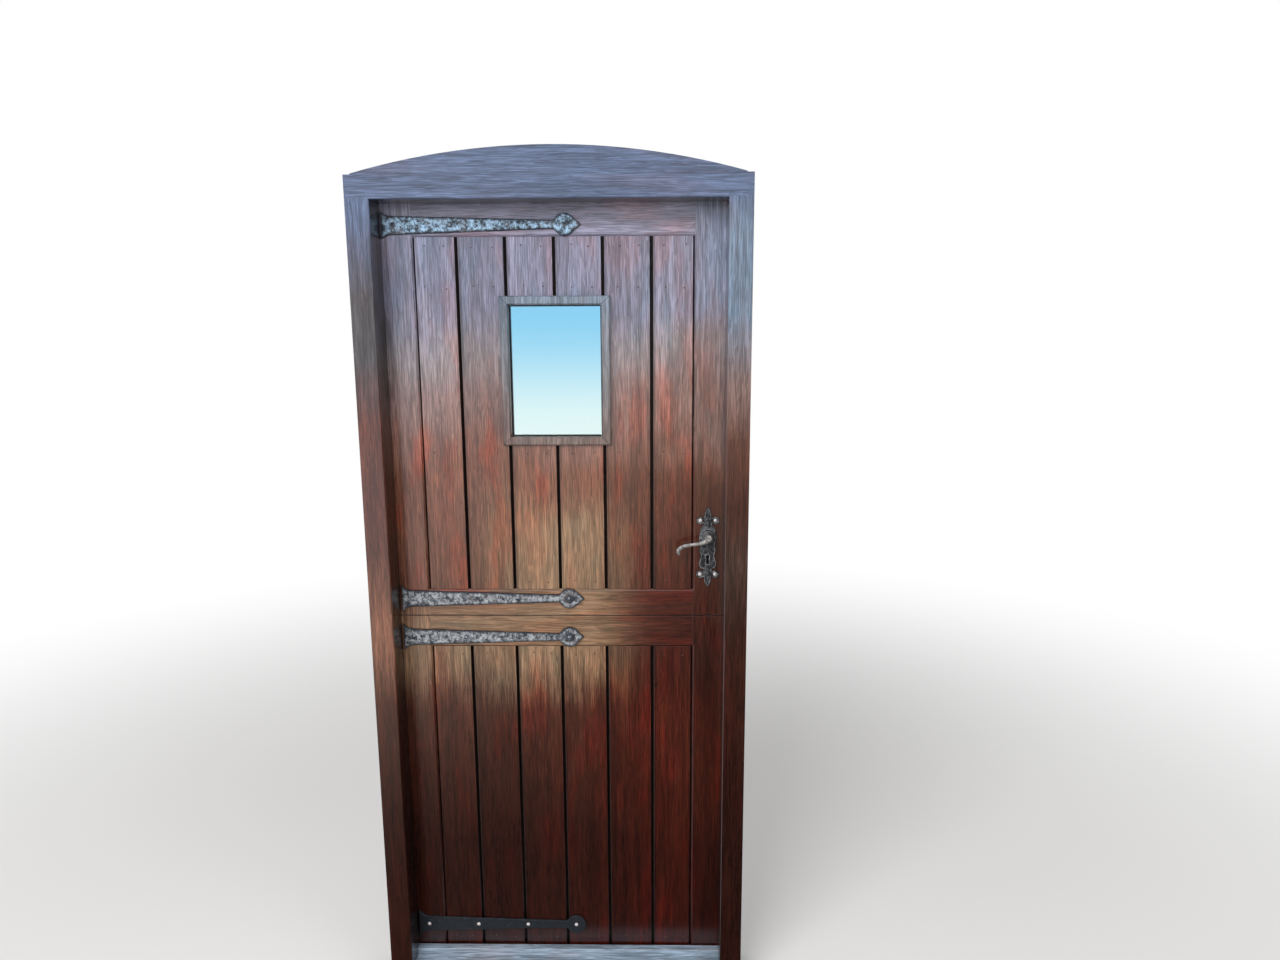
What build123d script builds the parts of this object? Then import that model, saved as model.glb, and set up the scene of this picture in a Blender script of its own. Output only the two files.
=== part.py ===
from build123d import *
import os
from math import sqrt

# A two-leaf boarded front door in its rebated frame. Sizes are in mm. X runs along the wall, Y into
# the house and Z up. The origin is on the sill's underside, midway between the jambs, in the plane
# of the frame's outside face.
os.makedirs("parts", exist_ok=True)

# Frame
clear_width = 820
clear_height = 1960
jamb_face = 56
head_face = 54
stop_depth = 74
rebate = 12
edge_gap = 3
seal_gap = 3
arris = 2
tenon_thickness = 15
tenon_end_gap = 2
jamb_tenon_width = 28
jamb_tenon_length = 34
arch_chord = 900
arch_rise = 62
arch_depth = 95
arch_end_height = 2

# Sill
sill_height = 60
sill_rebate = 15
sill_nose = 30
sill_front_height = 26
sill_nose_round = 4
upstand_depth = 20
upstand_riser = 16
drip_groove = 6
drip_inset = 10

# Leaves
leaf_thickness = 44
split_height = 945
split_gap = 3
stile_width = 83
top_rail_height = 85
meeting_rail_upper = 68
meeting_rail_lower = 82
panel_chamfer = 4
rail_tenon_length = 55
rail_tenon_inset = 12
tenon_setback = 3

# Boards
board_thickness = 20
board_recess = 2
board_pitch = 116.5
board_count = 6
board_joint = 1
board_vee = 4
tongue_thickness = 6
tongue_length = 9
tongue_end_gap = 1

# Ledges and brace behind the boards
window_ledge_height = 60
muntin_width = 50
foot_ledge_height = 150
foot_ledge_lift = 12
ledge_tenon = 16
brace_width = 120

# Window
sight_width = 224
sight_height = 319
sight_centre = 1565.5
bead_width = 21
bead_cover = 10
bead_proud = 11
bead_bevel = 3
glass_thickness = 14
glass_setback = 13
glass_edge_gap = 3

# Draught seal
seal_width = 6.5
seal_squeeze_gap = 0.3
seal_stem_width = 3
seal_stem_depth = 5

# Hinges
hinge_height = 100
hinge_end_distance = 200
hinge_pin_offset = 6
knuckle_radius = 5.7
knuckle_count = 5
knuckle_gap = 0.4
pin_radius = 2.75
pin_clearance = 0.1
flap_thickness = 3
flap_width = 32
flap_screw_count = 4
flap_screw_lines = (9.6, 22.4)

# Strap fronts
strap_inset = 12
strap_thickness = 5
strap_body = 43
strap_neck = 20
strap_head = 52
strap_tail_length = 26
strap_tail_bow = 3.2
strap_screw_pitch = 136
strap_first_screw = 27
strap_neck_fillet = 8
strap_edge_round = 0.8
strap_boss_radius = 10
strap_boss_height = 1.5
strap_boss_gap = 0.4
top_strap_drop = 58
split_strap_rise = 44.5
middle_strap_drop = 55.5
foot_strap_rise = 74

# Lock and its furniture
backset = 46
spindle_rise = 211
lock_centres = 57
spindle_square = 8
case_depth = 64
case_height = 130
case_thickness = 14
case_wall = 1.5
case_above_spindle = 34
forend_thickness = 3
forend_width = 22
forend_height = 160
forend_screw_inset = 8
follower_radius = 9
follower_clearance = 0.1
cam_radius = 20
cam_width = 5
cam_thickness = 5
latch_height = 16
latch_width = 10
latch_tip_flat = 2
latch_post_width = 6
latch_tail_thickness = 2.5
latch_arm_rise = 22
latch_arm_height = 3
latch_lug_height = 8
latch_lug_depth = 2.5
latch_head_depth = 13
latch_throw = 10
dead_height = 26
dead_width = 10
dead_throw = 14
dead_drop = 6
dead_tail_gap = 2
bolt_clearance = 0.5
keep_clearance = 1.5
keep_thickness = 2
keep_corner = 4
keep_pocket_depth = 18
plate_drop = 4
plate_height = 206
plate_thickness = 4
plate_waves = ((10.5, 58), (17, 50), (21, 33), (21, 17), (17.5, 7), (20.5, -7), (17, -20), (22, -40),
               (15.5, -55))
lobe_radius = 9.5
lobe_reach = 19
lobe_height = 69.5
petal_width = 8
petal_rise = 4
plate_waist = 21
plate_corner = 1.4
plate_bevel = 1
spear_radius = 8.5
spear_root = 6
spear_belly = 12
boss_steps = ((18.5, 0), (18.5, 3.5), (14, 5.5), (14, 9.5), (11, 12))
neck_radius = 9
neck_clearance = 0.4
neck_length = 45
neck_socket = 15
neck_round = 3
neck_face_gap = 0.5
lever_arm_depth = 8
lever_flatness = 0.8
spindle_bore_radius = 10
keyhole_radius = 4.5
keyhole_waist = 5
keyhole_foot = 7.2
keyhole_height = 23
key_bore_radius = 7

# Bolts on the inside
bolt_radius = 5
bolt_bore_gap = 0.4
bolt_plate_thickness = 2
bolt_axis_rise = 9
bolt_plate_width = 28
bolt_base_length = 62
bolt_keep_length = 24
bolt_edge_gap = 4
bolt_guide_inset = 2
bolt_travel = 30
bolt_overrun = 5
staple_length = 8
staple_wall = 3.5
bolt_knob_radius = 8
bolt_knob_lead = 40
join_bolt_x = 262
foot_bolt_drop = 503.5

# Screws
screw_shank_radius = 2
screw_length = 26
plate_screw_length = 18
dome_radius = 5
dome_height = 2.6
countersink_radius = 4
countersink_depth = 2

# Pilot holes for the wall ties, in the outer side of each jamb
tie_hole_radius = 3
tie_hole_depth = 30
tie_hole_y = 60
tie_hole_ends = 150
tie_hole_pitch = 590

# Places that follow from those sizes
half_clear = clear_width / 2
outer_half = half_clear + jamb_face
rebate_half = half_clear + rebate
leaf_half = rebate_half - edge_gap
leaf_front = stop_depth + seal_gap
frame_depth = leaf_front + leaf_thickness
leaf_middle = leaf_front + leaf_thickness / 2
head_bottom = sill_height + clear_height
head_top = head_bottom + head_face
leaf_bottom = sill_height - sill_rebate + edge_gap
leaf_top = head_bottom + rebate - edge_gap
split_z = sill_height + split_height
upper_bottom = split_z + split_gap / 2
lower_top = split_z - split_gap / 2
panel_half = leaf_half - stile_width
upper_panel = (upper_bottom + meeting_rail_upper, leaf_top - top_rail_height)
lower_panel = (leaf_bottom, lower_top - meeting_rail_lower)
board_front = leaf_front + board_recess
board_back = board_front + board_thickness
tenon_front = board_back + tenon_setback
tenon_back = tenon_front + tenon_thickness
tongue_front = board_front + (board_thickness - tongue_thickness) / 2
tongue_back = tongue_front + tongue_thickness
window_z = sill_height + sight_centre
opening_half_x = sight_width / 2 + bead_width - bead_cover
opening_half_z = sight_height / 2 + bead_width - bead_cover
glass_front = leaf_front + glass_setback
glass_back = glass_front + glass_thickness
pin_x = -(leaf_half + edge_gap / 2)
pin_y = frame_depth + hinge_pin_offset
upper_hinges = (upper_bottom + hinge_end_distance, leaf_top - hinge_end_distance)
lower_hinges = (leaf_bottom + hinge_end_distance, lower_top - hinge_end_distance)
spindle_x = leaf_half - backset
spindle_z = upper_bottom + spindle_rise
key_z = spindle_z - lock_centres
plate_z = (spindle_z + key_z) / 2 - plate_drop
case_top = spindle_z + case_above_spindle
case_bottom = case_top - case_height
case_middle = (case_top + case_bottom) / 2
latch_z = spindle_z
dead_z = key_z + dead_drop
bolt_y = frame_depth + bolt_axis_rise
strap_start = strap_inset - leaf_half

# Each strap's height, the height of its fishtail, how far its round head's centre is from the
# hinge side, how far its point stands out from that centre (0 for a plain round end), and whether
# the screw in its head stands in a raised boss
top_strap_z = leaf_top - top_strap_drop
split_strap_z = upper_bottom + split_strap_rise
middle_strap_z = lower_top - middle_strap_drop
foot_strap_z = leaf_bottom + foot_strap_rise
straps = {
    "top_strap": {"z": top_strap_z, "tail": 64, "reach": 434, "point": 40, "boss": False},
    "split_strap": {"z": split_strap_z, "tail": 72, "reach": 429, "point": 39, "boss": True},
    "middle_strap": {"z": middle_strap_z, "tail": 71, "reach": 428, "point": 37, "boss": True},
    "foot_strap": {"z": foot_strap_z, "tail": 78, "reach": 431, "point": 0, "boss": False},
}
upper_straps = ("top_strap", "split_strap")
lower_straps = ("middle_strap", "foot_strap")


def face_plane(y, x=0, z=0):
    # Upright plane across the door, with X to the right and Z up; extrude goes towards the street
    return Plane((x, y, z), x_dir=(1, 0, 0), z_dir=(0, -1, 0))


def bar(low, high, mode=Mode.ADD):
    # Squared bar between two opposite corners, in the part being built
    sizes = [b - a for a, b in zip(low, high)]
    middle = [(a + b) / 2 for a, b in zip(low, high)]
    with Locations(tuple(middle)):
        Box(*sizes, mode=mode)


def finish(piece, label):
    piece.part.label = label
    export_step(piece.part, f"parts/{label}.step")


def strap_screw_places(strap):
    runs = [strap_first_screw + i * strap_screw_pitch for i in range(3)] + [strap["reach"]]
    return [(strap_start + run, strap["z"]) for run in runs]


def dome_screws(places, seat, length):
    # Dome-headed screws driven along Y through a fitting whose outer face is at seat
    cap_radius = (dome_radius ** 2 + dome_height ** 2) / (2 * dome_height)
    with BuildPart() as screw:
        with BuildSketch(Plane.XY):
            with BuildLine():
                Polyline((0, -dome_height), (0, length), (screw_shank_radius, length),
                         (screw_shank_radius, 0), (dome_radius, 0))
                RadiusArc((dome_radius, 0), (0, -dome_height), cap_radius)
            make_face()
        revolve(axis=Axis.Y)
    with BuildPart() as group:
        with Locations(*[(x, seat, z) for x, z in places]):
            add(screw.part)
    return group.part


def flat_screws(places, direction):
    # Countersunk screws with their heads flush at each place, driven along X in the given direction
    cone_end, tip = direction * countersink_depth, direction * screw_length
    with BuildPart() as screw:
        with BuildSketch(Plane.XY):
            with BuildLine():
                Polyline((0, 0), (0, countersink_radius), (cone_end, screw_shank_radius),
                         (tip, screw_shank_radius), (tip, 0), close=True)
            make_face()
        revolve(axis=Axis.X)
    with BuildPart() as group:
        with Locations(*places):
            add(screw.part)
    return group.part


def hinge_screw_places(x, heights):
    pitch = hinge_height / flap_screw_count
    offsets = [(i - (flap_screw_count - 1) / 2) * pitch for i in range(flap_screw_count)]
    lines = [frame_depth - flap_screw_lines[i % 2 - 1] for i in range(flap_screw_count)]
    return [(x, y, z + dz) for z in heights for y, dz in zip(lines, offsets)]


# Screws of each body, cut from what they hold
plate_screws = [(spindle_x + side * lobe_reach, plate_z + end * lobe_height)
                for side in (-1, 1) for end in (-1, 1)]
keep_screws = [(rebate_half, leaf_middle, case_middle + end * (forend_height / 2 - forend_screw_inset))
               for end in (-1, 1)]
forend_screws = [(leaf_half, leaf_middle, z) for _, _, z in keep_screws]

with BuildPart() as frame_screws:
    add(flat_screws(hinge_screw_places(-rebate_half, upper_hinges + lower_hinges), -1))
    add(flat_screws(keep_screws, 1))
finish(frame_screws, "frame_screws")

with BuildPart() as upper_screws:
    for name in upper_straps:
        add(dome_screws(strap_screw_places(straps[name]), leaf_front - strap_thickness, screw_length))
    add(dome_screws(plate_screws, leaf_front - plate_thickness, plate_screw_length))
    add(flat_screws(hinge_screw_places(-leaf_half, upper_hinges), 1))
    add(flat_screws(forend_screws, -1))
finish(upper_screws, "upper_screws")

with BuildPart() as lower_screws:
    for name in lower_straps:
        add(dome_screws(strap_screw_places(straps[name]), leaf_front - strap_thickness, screw_length))
    add(flat_screws(hinge_screw_places(-leaf_half, lower_hinges), 1))
finish(lower_screws, "lower_screws")

# Compression seal in a groove all round the stops, mitred at its corners
seal_x = (half_clear + leaf_half) / 2
seal_low = (leaf_bottom + sill_height) / 2
seal_high = (head_bottom + leaf_top) / 2
with BuildPart() as draught_seal:
    with BuildLine():
        Polyline((0, stop_depth, seal_low), (seal_x, stop_depth, seal_low), (seal_x, stop_depth, seal_high),
                 (-seal_x, stop_depth, seal_high), (-seal_x, stop_depth, seal_low), close=True)
    with BuildSketch(Plane.YZ):
        with Locations((stop_depth + (seal_gap - seal_squeeze_gap) / 2, seal_low)):
            Rectangle(seal_gap - seal_squeeze_gap, seal_width)
        with Locations((stop_depth - seal_stem_depth / 2, seal_low)):
            Rectangle(seal_stem_depth, seal_stem_width)
    sweep(transition=Transition.RIGHT)
finish(draught_seal, "draught_seal")

# Hardwood sill: nose with a drip groove, weathered slope, upstand and rebate
upstand_front = stop_depth - upstand_depth
with BuildPart() as sill:
    with BuildSketch(Plane.YZ):
        with BuildLine():
            Polyline((-sill_nose, 0), (frame_depth, 0), (frame_depth, sill_height - sill_rebate),
                     (stop_depth, sill_height - sill_rebate), (stop_depth, sill_height),
                     (upstand_front, sill_height), (upstand_front, sill_height - upstand_riser),
                     (-sill_nose, sill_front_height), close=True)
        make_face()
        with Locations((-sill_nose + drip_inset + drip_groove / 2, 0)):
            Circle(drip_groove / 2, mode=Mode.SUBTRACT)
    extrude(amount=outer_half, both=True)
    noses = sill.edges().filter_by(Axis.X).group_by(Axis.Y)[0]
    fillet(noses.sort_by(Axis.Z)[-1], radius=sill_nose_round)
    upstand_arrises = sill.edges().filter_by(Axis.X).group_by(Axis.Z)[-1]
    fillet(upstand_arrises, radius=arris)
    add(draught_seal.part, mode=Mode.SUBTRACT)
finish(sill, "sill")

# Head, rebated below and mortised for the jambs
with BuildPart() as head:
    with BuildSketch(Plane.YZ):
        with BuildLine():
            Polyline((0, head_bottom), (0, head_top), (frame_depth, head_top),
                     (frame_depth, head_bottom + rebate), (stop_depth, head_bottom + rebate),
                     (stop_depth, head_bottom), close=True)
        make_face()
    extrude(amount=outer_half, both=True)
    front_arrises = head.edges().filter_by(Axis.X).group_by(Axis.Y)[0]
    chamfer(front_arrises.sort_by(Axis.Z)[0], length=arris)
    tenon_x = half_clear + jamb_face / 2
    with Locations((-tenon_x, stop_depth / 2, head_bottom), (tenon_x, stop_depth / 2, head_bottom)):
        Box(jamb_tenon_width, tenon_thickness, jamb_tenon_length,
            align=(Align.CENTER, Align.CENTER, Align.MIN), mode=Mode.SUBTRACT)
    add(draught_seal.part, mode=Mode.SUBTRACT)
finish(head, "head")

# Segmental piece that fills the brick arch above the head
with BuildPart() as arch_infill:
    with BuildSketch(face_plane(0)):
        with BuildLine():
            half_chord = arch_chord / 2
            Polyline((-half_chord, head_top + arch_end_height), (-half_chord, head_top),
                     (half_chord, head_top), (half_chord, head_top + arch_end_height))
            ThreePointArc((half_chord, head_top + arch_end_height), (0, head_top + arch_rise),
                          (-half_chord, head_top + arch_end_height))
        make_face()
    extrude(amount=-arch_depth)
finish(arch_infill, "arch_infill")


def hinge_flap(z, side):
    # One flap of a butt hinge: side -1 is screwed to the jamb and holds the pin, 1 to the leaf
    face = pin_x + side * edge_gap / 2
    knuckle = hinge_height / knuckle_count
    low = z - hinge_height / 2
    own = range(0, knuckle_count, 2) if side < 0 else range(1, knuckle_count, 2)
    with BuildPart() as flap:
        bar((min(face, face + side * flap_thickness), frame_depth - flap_width, low),
            (max(face, face + side * flap_thickness), frame_depth, z + hinge_height / 2))
        for i in own:
            start = low + i * knuckle + (knuckle_gap / 2 if i else 0)
            end = low + (i + 1) * knuckle - (knuckle_gap / 2 if i < knuckle_count - 1 else 0)
            with BuildSketch(Plane.XY.offset(start)):
                with Locations((pin_x, pin_y)):
                    Circle(knuckle_radius)
                with Locations((face + side * flap_thickness / 2, (frame_depth + pin_y) / 2)):
                    Rectangle(flap_thickness, hinge_pin_offset)
            extrude(amount=end - start)
        with Locations((pin_x, pin_y, z)):
            if side < 0:
                Cylinder(pin_radius, hinge_height)
            else:
                Cylinder(pin_radius + pin_clearance, hinge_height, mode=Mode.SUBTRACT)
    return flap.part


flap_sets = (("frame_hinge_flaps", upper_hinges + lower_hinges, -1, frame_screws),
             ("upper_hinge_flaps", upper_hinges, 1, upper_screws),
             ("lower_hinge_flaps", lower_hinges, 1, lower_screws))
flaps = {}
for name, heights, side, screws in flap_sets:
    with BuildPart() as flap_group:
        for z in heights:
            add(hinge_flap(z, side))
        add(screws.part, mode=Mode.SUBTRACT)
    finish(flap_group, name)
    flaps[name] = flap_group.part

# Striking plate for the lock, let into the jamb's rebate
with BuildPart() as keep_blank:
    bar((rebate_half, leaf_middle - forend_width / 2, case_middle - forend_height / 2),
        (rebate_half + keep_thickness, leaf_middle + forend_width / 2, case_middle + forend_height / 2))
    corners = keep_blank.edges().filter_by(Axis.X)
    fillet(corners, radius=keep_corner)
keep_windows = ((latch_z, latch_height, latch_width), (dead_z, dead_height, dead_width))
with BuildPart() as keep_pockets:
    for z, height, width in keep_windows:
        bar((rebate_half, leaf_middle - width / 2 - keep_clearance, z - height / 2 - keep_clearance),
            (rebate_half + keep_pocket_depth, leaf_middle + width / 2 + keep_clearance,
             z + height / 2 + keep_clearance))
with BuildPart() as lock_keep:
    add(keep_blank.part)
    add(keep_pockets.part, mode=Mode.SUBTRACT)
    add(frame_screws.part, mode=Mode.SUBTRACT)
finish(lock_keep, "lock_keep")

tie_heights = [tie_hole_ends + i * tie_hole_pitch for i in range(4)]
for name, side in (("left_jamb", -1), ("right_jamb", 1)):
    with BuildPart() as jamb:
        with BuildSketch(Plane.XY):
            with BuildLine():
                Polyline((side * (half_clear + arris), 0), (side * outer_half, 0),
                         (side * outer_half, frame_depth), (side * rebate_half, frame_depth),
                         (side * rebate_half, stop_depth), (side * half_clear, stop_depth),
                         (side * half_clear, arris), close=True)
            make_face()
        extrude(amount=head_bottom + jamb_tenon_length - tenon_end_gap)
        add(head.part, mode=Mode.SUBTRACT)
        add(sill.part, mode=Mode.SUBTRACT)
        add(draught_seal.part, mode=Mode.SUBTRACT)
        tie_x = side * (outer_half - tie_hole_depth / 2)
        for z in tie_heights:
            with Locations(Plane((tie_x, tie_hole_y, z), z_dir=(side, 0, 0))):
                Cylinder(tie_hole_radius, tie_hole_depth, mode=Mode.SUBTRACT)
        add(frame_screws.part, mode=Mode.SUBTRACT)
        if side < 0:
            add(flaps["frame_hinge_flaps"], mode=Mode.SUBTRACT)
        else:
            add(keep_blank.part, mode=Mode.SUBTRACT)
            add(keep_pockets.part, mode=Mode.SUBTRACT)
    finish(jamb, name)


def panel_recess(panel):
    # Shallow pyramid-sided void that chamfers the inner arrises of the rails and stiles
    low, high = panel
    with BuildPart() as recess:
        for y, grow in ((leaf_front, panel_chamfer), (leaf_front + panel_chamfer, 0)):
            with BuildSketch(face_plane(y)):
                with Locations((0, (low + high) / 2)):
                    Rectangle(2 * (panel_half + grow), high - low + 2 * grow)
        loft()
    return recess.part


upper_recess = panel_recess(upper_panel)
lower_recess = panel_recess((lower_panel[0] - stile_width, lower_panel[1]))


def rail(low, high, recess, tongue_sides, screws):
    # Rail between the stiles, tenoned into them and grooved for the ends of the boards
    with BuildPart() as piece:
        bar((-panel_half, leaf_front, low), (panel_half, leaf_front + leaf_thickness, high))
        bar((-panel_half - rail_tenon_length, tenon_front, low + rail_tenon_inset),
            (panel_half + rail_tenon_length, tenon_back, high - rail_tenon_inset))
        for edge, way in tongue_sides:
            bar((-panel_half, tongue_front, min(edge, edge + way * (tongue_length + tongue_end_gap))),
                (panel_half, tongue_back, max(edge, edge + way * (tongue_length + tongue_end_gap))),
                mode=Mode.SUBTRACT)
        add(recess, mode=Mode.SUBTRACT)
        add(screws, mode=Mode.SUBTRACT)
    return piece


upper_low, upper_high = upper_panel
top_rail = rail(upper_high, leaf_top, upper_recess, [(upper_high, 1)], upper_screws.part)
finish(top_rail, "top_rail")
upper_meeting_rail = rail(upper_bottom, upper_low, upper_recess, [(upper_low, -1)], upper_screws.part)
finish(upper_meeting_rail, "upper_meeting_rail")
lower_meeting_rail = rail(lower_panel[1], lower_top, lower_recess, [(lower_panel[1], 1)], lower_screws.part)
finish(lower_meeting_rail, "lower_meeting_rail")


def ledge(low, high, screws):
    # Thin rail behind the boards, stub-tenoned into both stiles
    with BuildPart() as piece:
        bar((-panel_half, board_back, low), (panel_half, frame_depth, high))
        bar((-panel_half - ledge_tenon, tenon_front, low + rail_tenon_inset),
            (panel_half + ledge_tenon, tenon_back, high - rail_tenon_inset))
        add(screws, mode=Mode.SUBTRACT)
    return piece.part


with BuildPart() as window_framing:
    for side in (-1, 1):
        edge = window_z + side * opening_half_z
        far = edge + side * window_ledge_height
        add(ledge(min(edge, far), max(edge, far), upper_screws.part))
    for side in (-1, 1):
        edge = side * opening_half_x
        far = edge + side * muntin_width
        bar((min(edge, far), board_back, window_z - opening_half_z),
            (max(edge, far), frame_depth, window_z + opening_half_z))
finish(window_framing, "window_framing")

foot_low = leaf_bottom + foot_ledge_lift
with BuildPart() as foot_ledge:
    add(ledge(foot_low, foot_low + foot_ledge_height, lower_screws.part))
finish(foot_ledge, "foot_ledge")

with BuildPart() as brace:
    with BuildSketch(face_plane(board_back)):
        with BuildLine():
            brace_low, brace_high = foot_low + foot_ledge_height, lower_panel[1]
            Polyline((-panel_half, brace_low), (-panel_half + brace_width, brace_low),
                     (panel_half, brace_high), (panel_half - brace_width, brace_high), close=True)
        make_face()
    extrude(amount=-(frame_depth - board_back))
finish(brace, "brace")

# Boards, tongued into one another, the stiles and the rails
inner_joints = [(i - board_count / 2) * board_pitch for i in range(1, board_count)]
joint_lines = [-panel_half, *inner_joints, panel_half]


def board(index, low, high, low_tongue, high_tongue, screws):
    left = joint_lines[index] + board_joint / 2
    right = joint_lines[index + 1] - board_joint / 2
    first = index == 0
    left_run = -tongue_length if first else tongue_length + tongue_end_gap
    bottom = low - (tongue_length if low_tongue else 0)
    top = high + (tongue_length if high_tongue else 0)
    with BuildPart() as piece:
        with BuildSketch(Plane.XY.offset(bottom)):
            with BuildLine():
                Polyline((left + board_vee, board_front), (right - board_vee, board_front),
                         (right, board_front + board_vee), (right, tongue_front),
                         (right + tongue_length, tongue_front), (right + tongue_length, tongue_back),
                         (right, tongue_back), (right, board_back), (left, board_back), (left, tongue_back),
                         (left + left_run, tongue_back), (left + left_run, tongue_front),
                         (left, tongue_front), (left, board_front + board_vee), close=True)
            make_face()
        extrude(amount=top - bottom)
        ends = [(bottom, low)] * low_tongue + [(high, top)] * high_tongue
        for end_low, end_high in ends:
            bar((left - board_pitch, board_front, end_low), (right + board_pitch, tongue_front, end_high),
                mode=Mode.SUBTRACT)
            bar((left - board_pitch, tongue_back, end_low), (right + board_pitch, board_back, end_high),
                mode=Mode.SUBTRACT)
        if high > window_z > low and opening_half_x > left and right > -opening_half_x:
            bar((-opening_half_x, board_front, window_z - opening_half_z),
                (opening_half_x, board_back, window_z + opening_half_z), mode=Mode.SUBTRACT)
        add(screws, mode=Mode.SUBTRACT)
    return piece


window_boards = (board_count // 2 - 1, board_count // 2)
for i in range(board_count):
    if i in window_boards:
        over = board(i, window_z + opening_half_z, upper_panel[1], False, True, upper_screws.part)
        finish(over, f"upper_board_{i + 1}_above")
        under = board(i, upper_panel[0], window_z - opening_half_z, True, False, upper_screws.part)
        finish(under, f"upper_board_{i + 1}_below")
    else:
        whole = board(i, upper_panel[0], upper_panel[1], True, True, upper_screws.part)
        finish(whole, f"upper_board_{i + 1}")
    low_board = board(i, lower_panel[0], lower_panel[1], False, True, lower_screws.part)
    finish(low_board, f"lower_board_{i + 1}")

# Lock: hollow case with its forend, follower, latch bolt and deadbolt
case_front = leaf_middle - case_thickness / 2
case_back = leaf_middle + case_thickness / 2
case_x = leaf_half - case_depth
inner_front, inner_back = case_front + case_wall, case_back - case_wall
with BuildPart() as lock_body:
    bar((case_x, case_front, case_bottom), (leaf_half - forend_thickness, case_back, case_top))
    bar((leaf_half - forend_thickness, leaf_middle - forend_width / 2, case_middle - forend_height / 2),
        (leaf_half, leaf_middle + forend_width / 2, case_middle + forend_height / 2))


def keyhole_slot(y_front, y_back):
    # Keyhole as the key sees it: round at the top, waisted, wider again at the foot
    foot = keyhole_height - keyhole_radius
    with BuildPart() as slot:
        with BuildSketch(face_plane(y_front, spindle_x, key_z)):
            Circle(keyhole_radius)
            with BuildLine():
                Polyline((-keyhole_waist / 2, 0), (keyhole_waist / 2, 0), (keyhole_foot / 2, -foot),
                         (-keyhole_foot / 2, -foot), close=True)
            make_face()
        extrude(amount=-(y_back - y_front))
    return slot.part


with BuildPart() as lock_case:
    add(lock_body.part)
    bar((case_x + case_wall, inner_front, case_bottom + case_wall),
        (leaf_half - forend_thickness, inner_back, case_top - case_wall), mode=Mode.SUBTRACT)
    with Locations(Plane((spindle_x, leaf_middle, spindle_z), z_dir=(0, 1, 0))):
        Cylinder(follower_radius + follower_clearance, case_thickness, mode=Mode.SUBTRACT)
    for z, height, width in keep_windows:
        bar((leaf_half - forend_thickness, leaf_middle - width / 2 - bolt_clearance,
             z - height / 2 - bolt_clearance),
            (leaf_half, leaf_middle + width / 2 + bolt_clearance, z + height / 2 + bolt_clearance),
            mode=Mode.SUBTRACT)
    add(keyhole_slot(case_front, case_back), mode=Mode.SUBTRACT)
    add(upper_screws.part, mode=Mode.SUBTRACT)
finish(lock_case, "lock_case")

with BuildPart() as follower:
    with BuildSketch(face_plane(case_front, spindle_x, spindle_z)):
        Circle(follower_radius)
        Rectangle(spindle_square, spindle_square, mode=Mode.SUBTRACT)
    extrude(amount=-case_thickness)
    with BuildSketch(face_plane(leaf_middle - cam_thickness / 2, spindle_x, spindle_z)):
        Rectangle(cam_width, 2 * cam_radius)
        Rectangle(spindle_square, spindle_square, mode=Mode.SUBTRACT)
    extrude(amount=-cam_thickness)
finish(follower, "follower")

# Latch bolt: bevelled head, and an arm over the follower whose lug the upper cam pushes back
latch_tip = leaf_half + latch_throw
latch_front, latch_back = leaf_middle - latch_width / 2, leaf_middle + latch_width / 2
head_start = leaf_half - forend_thickness - latch_head_depth
lug_end = spindle_x - cam_width / 2 - bolt_clearance
lug_start = lug_end - latch_lug_depth
arm_bottom = spindle_z + latch_arm_rise
arm_top = arm_bottom + latch_arm_height
tail_back = inner_back - bolt_clearance
tail_front = tail_back - latch_tail_thickness
with BuildPart() as latch_bolt:
    with BuildSketch(Plane.XY.offset(latch_z - latch_height / 2)):
        with BuildLine():
            Polyline((head_start, latch_front), (latch_tip, latch_front),
                     (latch_tip, latch_front + latch_tip_flat), (leaf_half, latch_back),
                     (head_start, latch_back), close=True)
        make_face()
    extrude(amount=latch_height)
    bar((head_start, tail_front, latch_z), (head_start + latch_post_width, tail_back, arm_top))
    bar((lug_start, tail_front, arm_bottom), (head_start, tail_back, arm_top))
    bar((lug_start, leaf_middle - cam_thickness / 2, arm_bottom - latch_lug_height),
        (lug_end, tail_back, arm_top))
finish(latch_bolt, "latch_bolt")

dead_tail = spindle_x + key_bore_radius + dead_tail_gap
with BuildPart() as deadbolt:
    bar((dead_tail, leaf_middle - dead_width / 2, dead_z - dead_height / 2),
        (leaf_half, leaf_middle + dead_width / 2, dead_z + dead_height / 2))
    with Locations((dead_tail, leaf_middle, dead_z - dead_height / 2)):
        Box(dead_throw, dead_width, dead_width, mode=Mode.SUBTRACT)
finish(deadbolt, "deadbolt")

spindle_reach = leaf_thickness / 2 + neck_length - neck_socket
with BuildPart() as spindle:
    with Locations((spindle_x, leaf_middle, spindle_z)):
        Box(spindle_square, 2 * spindle_reach, spindle_square)
finish(spindle, "spindle")


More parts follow.
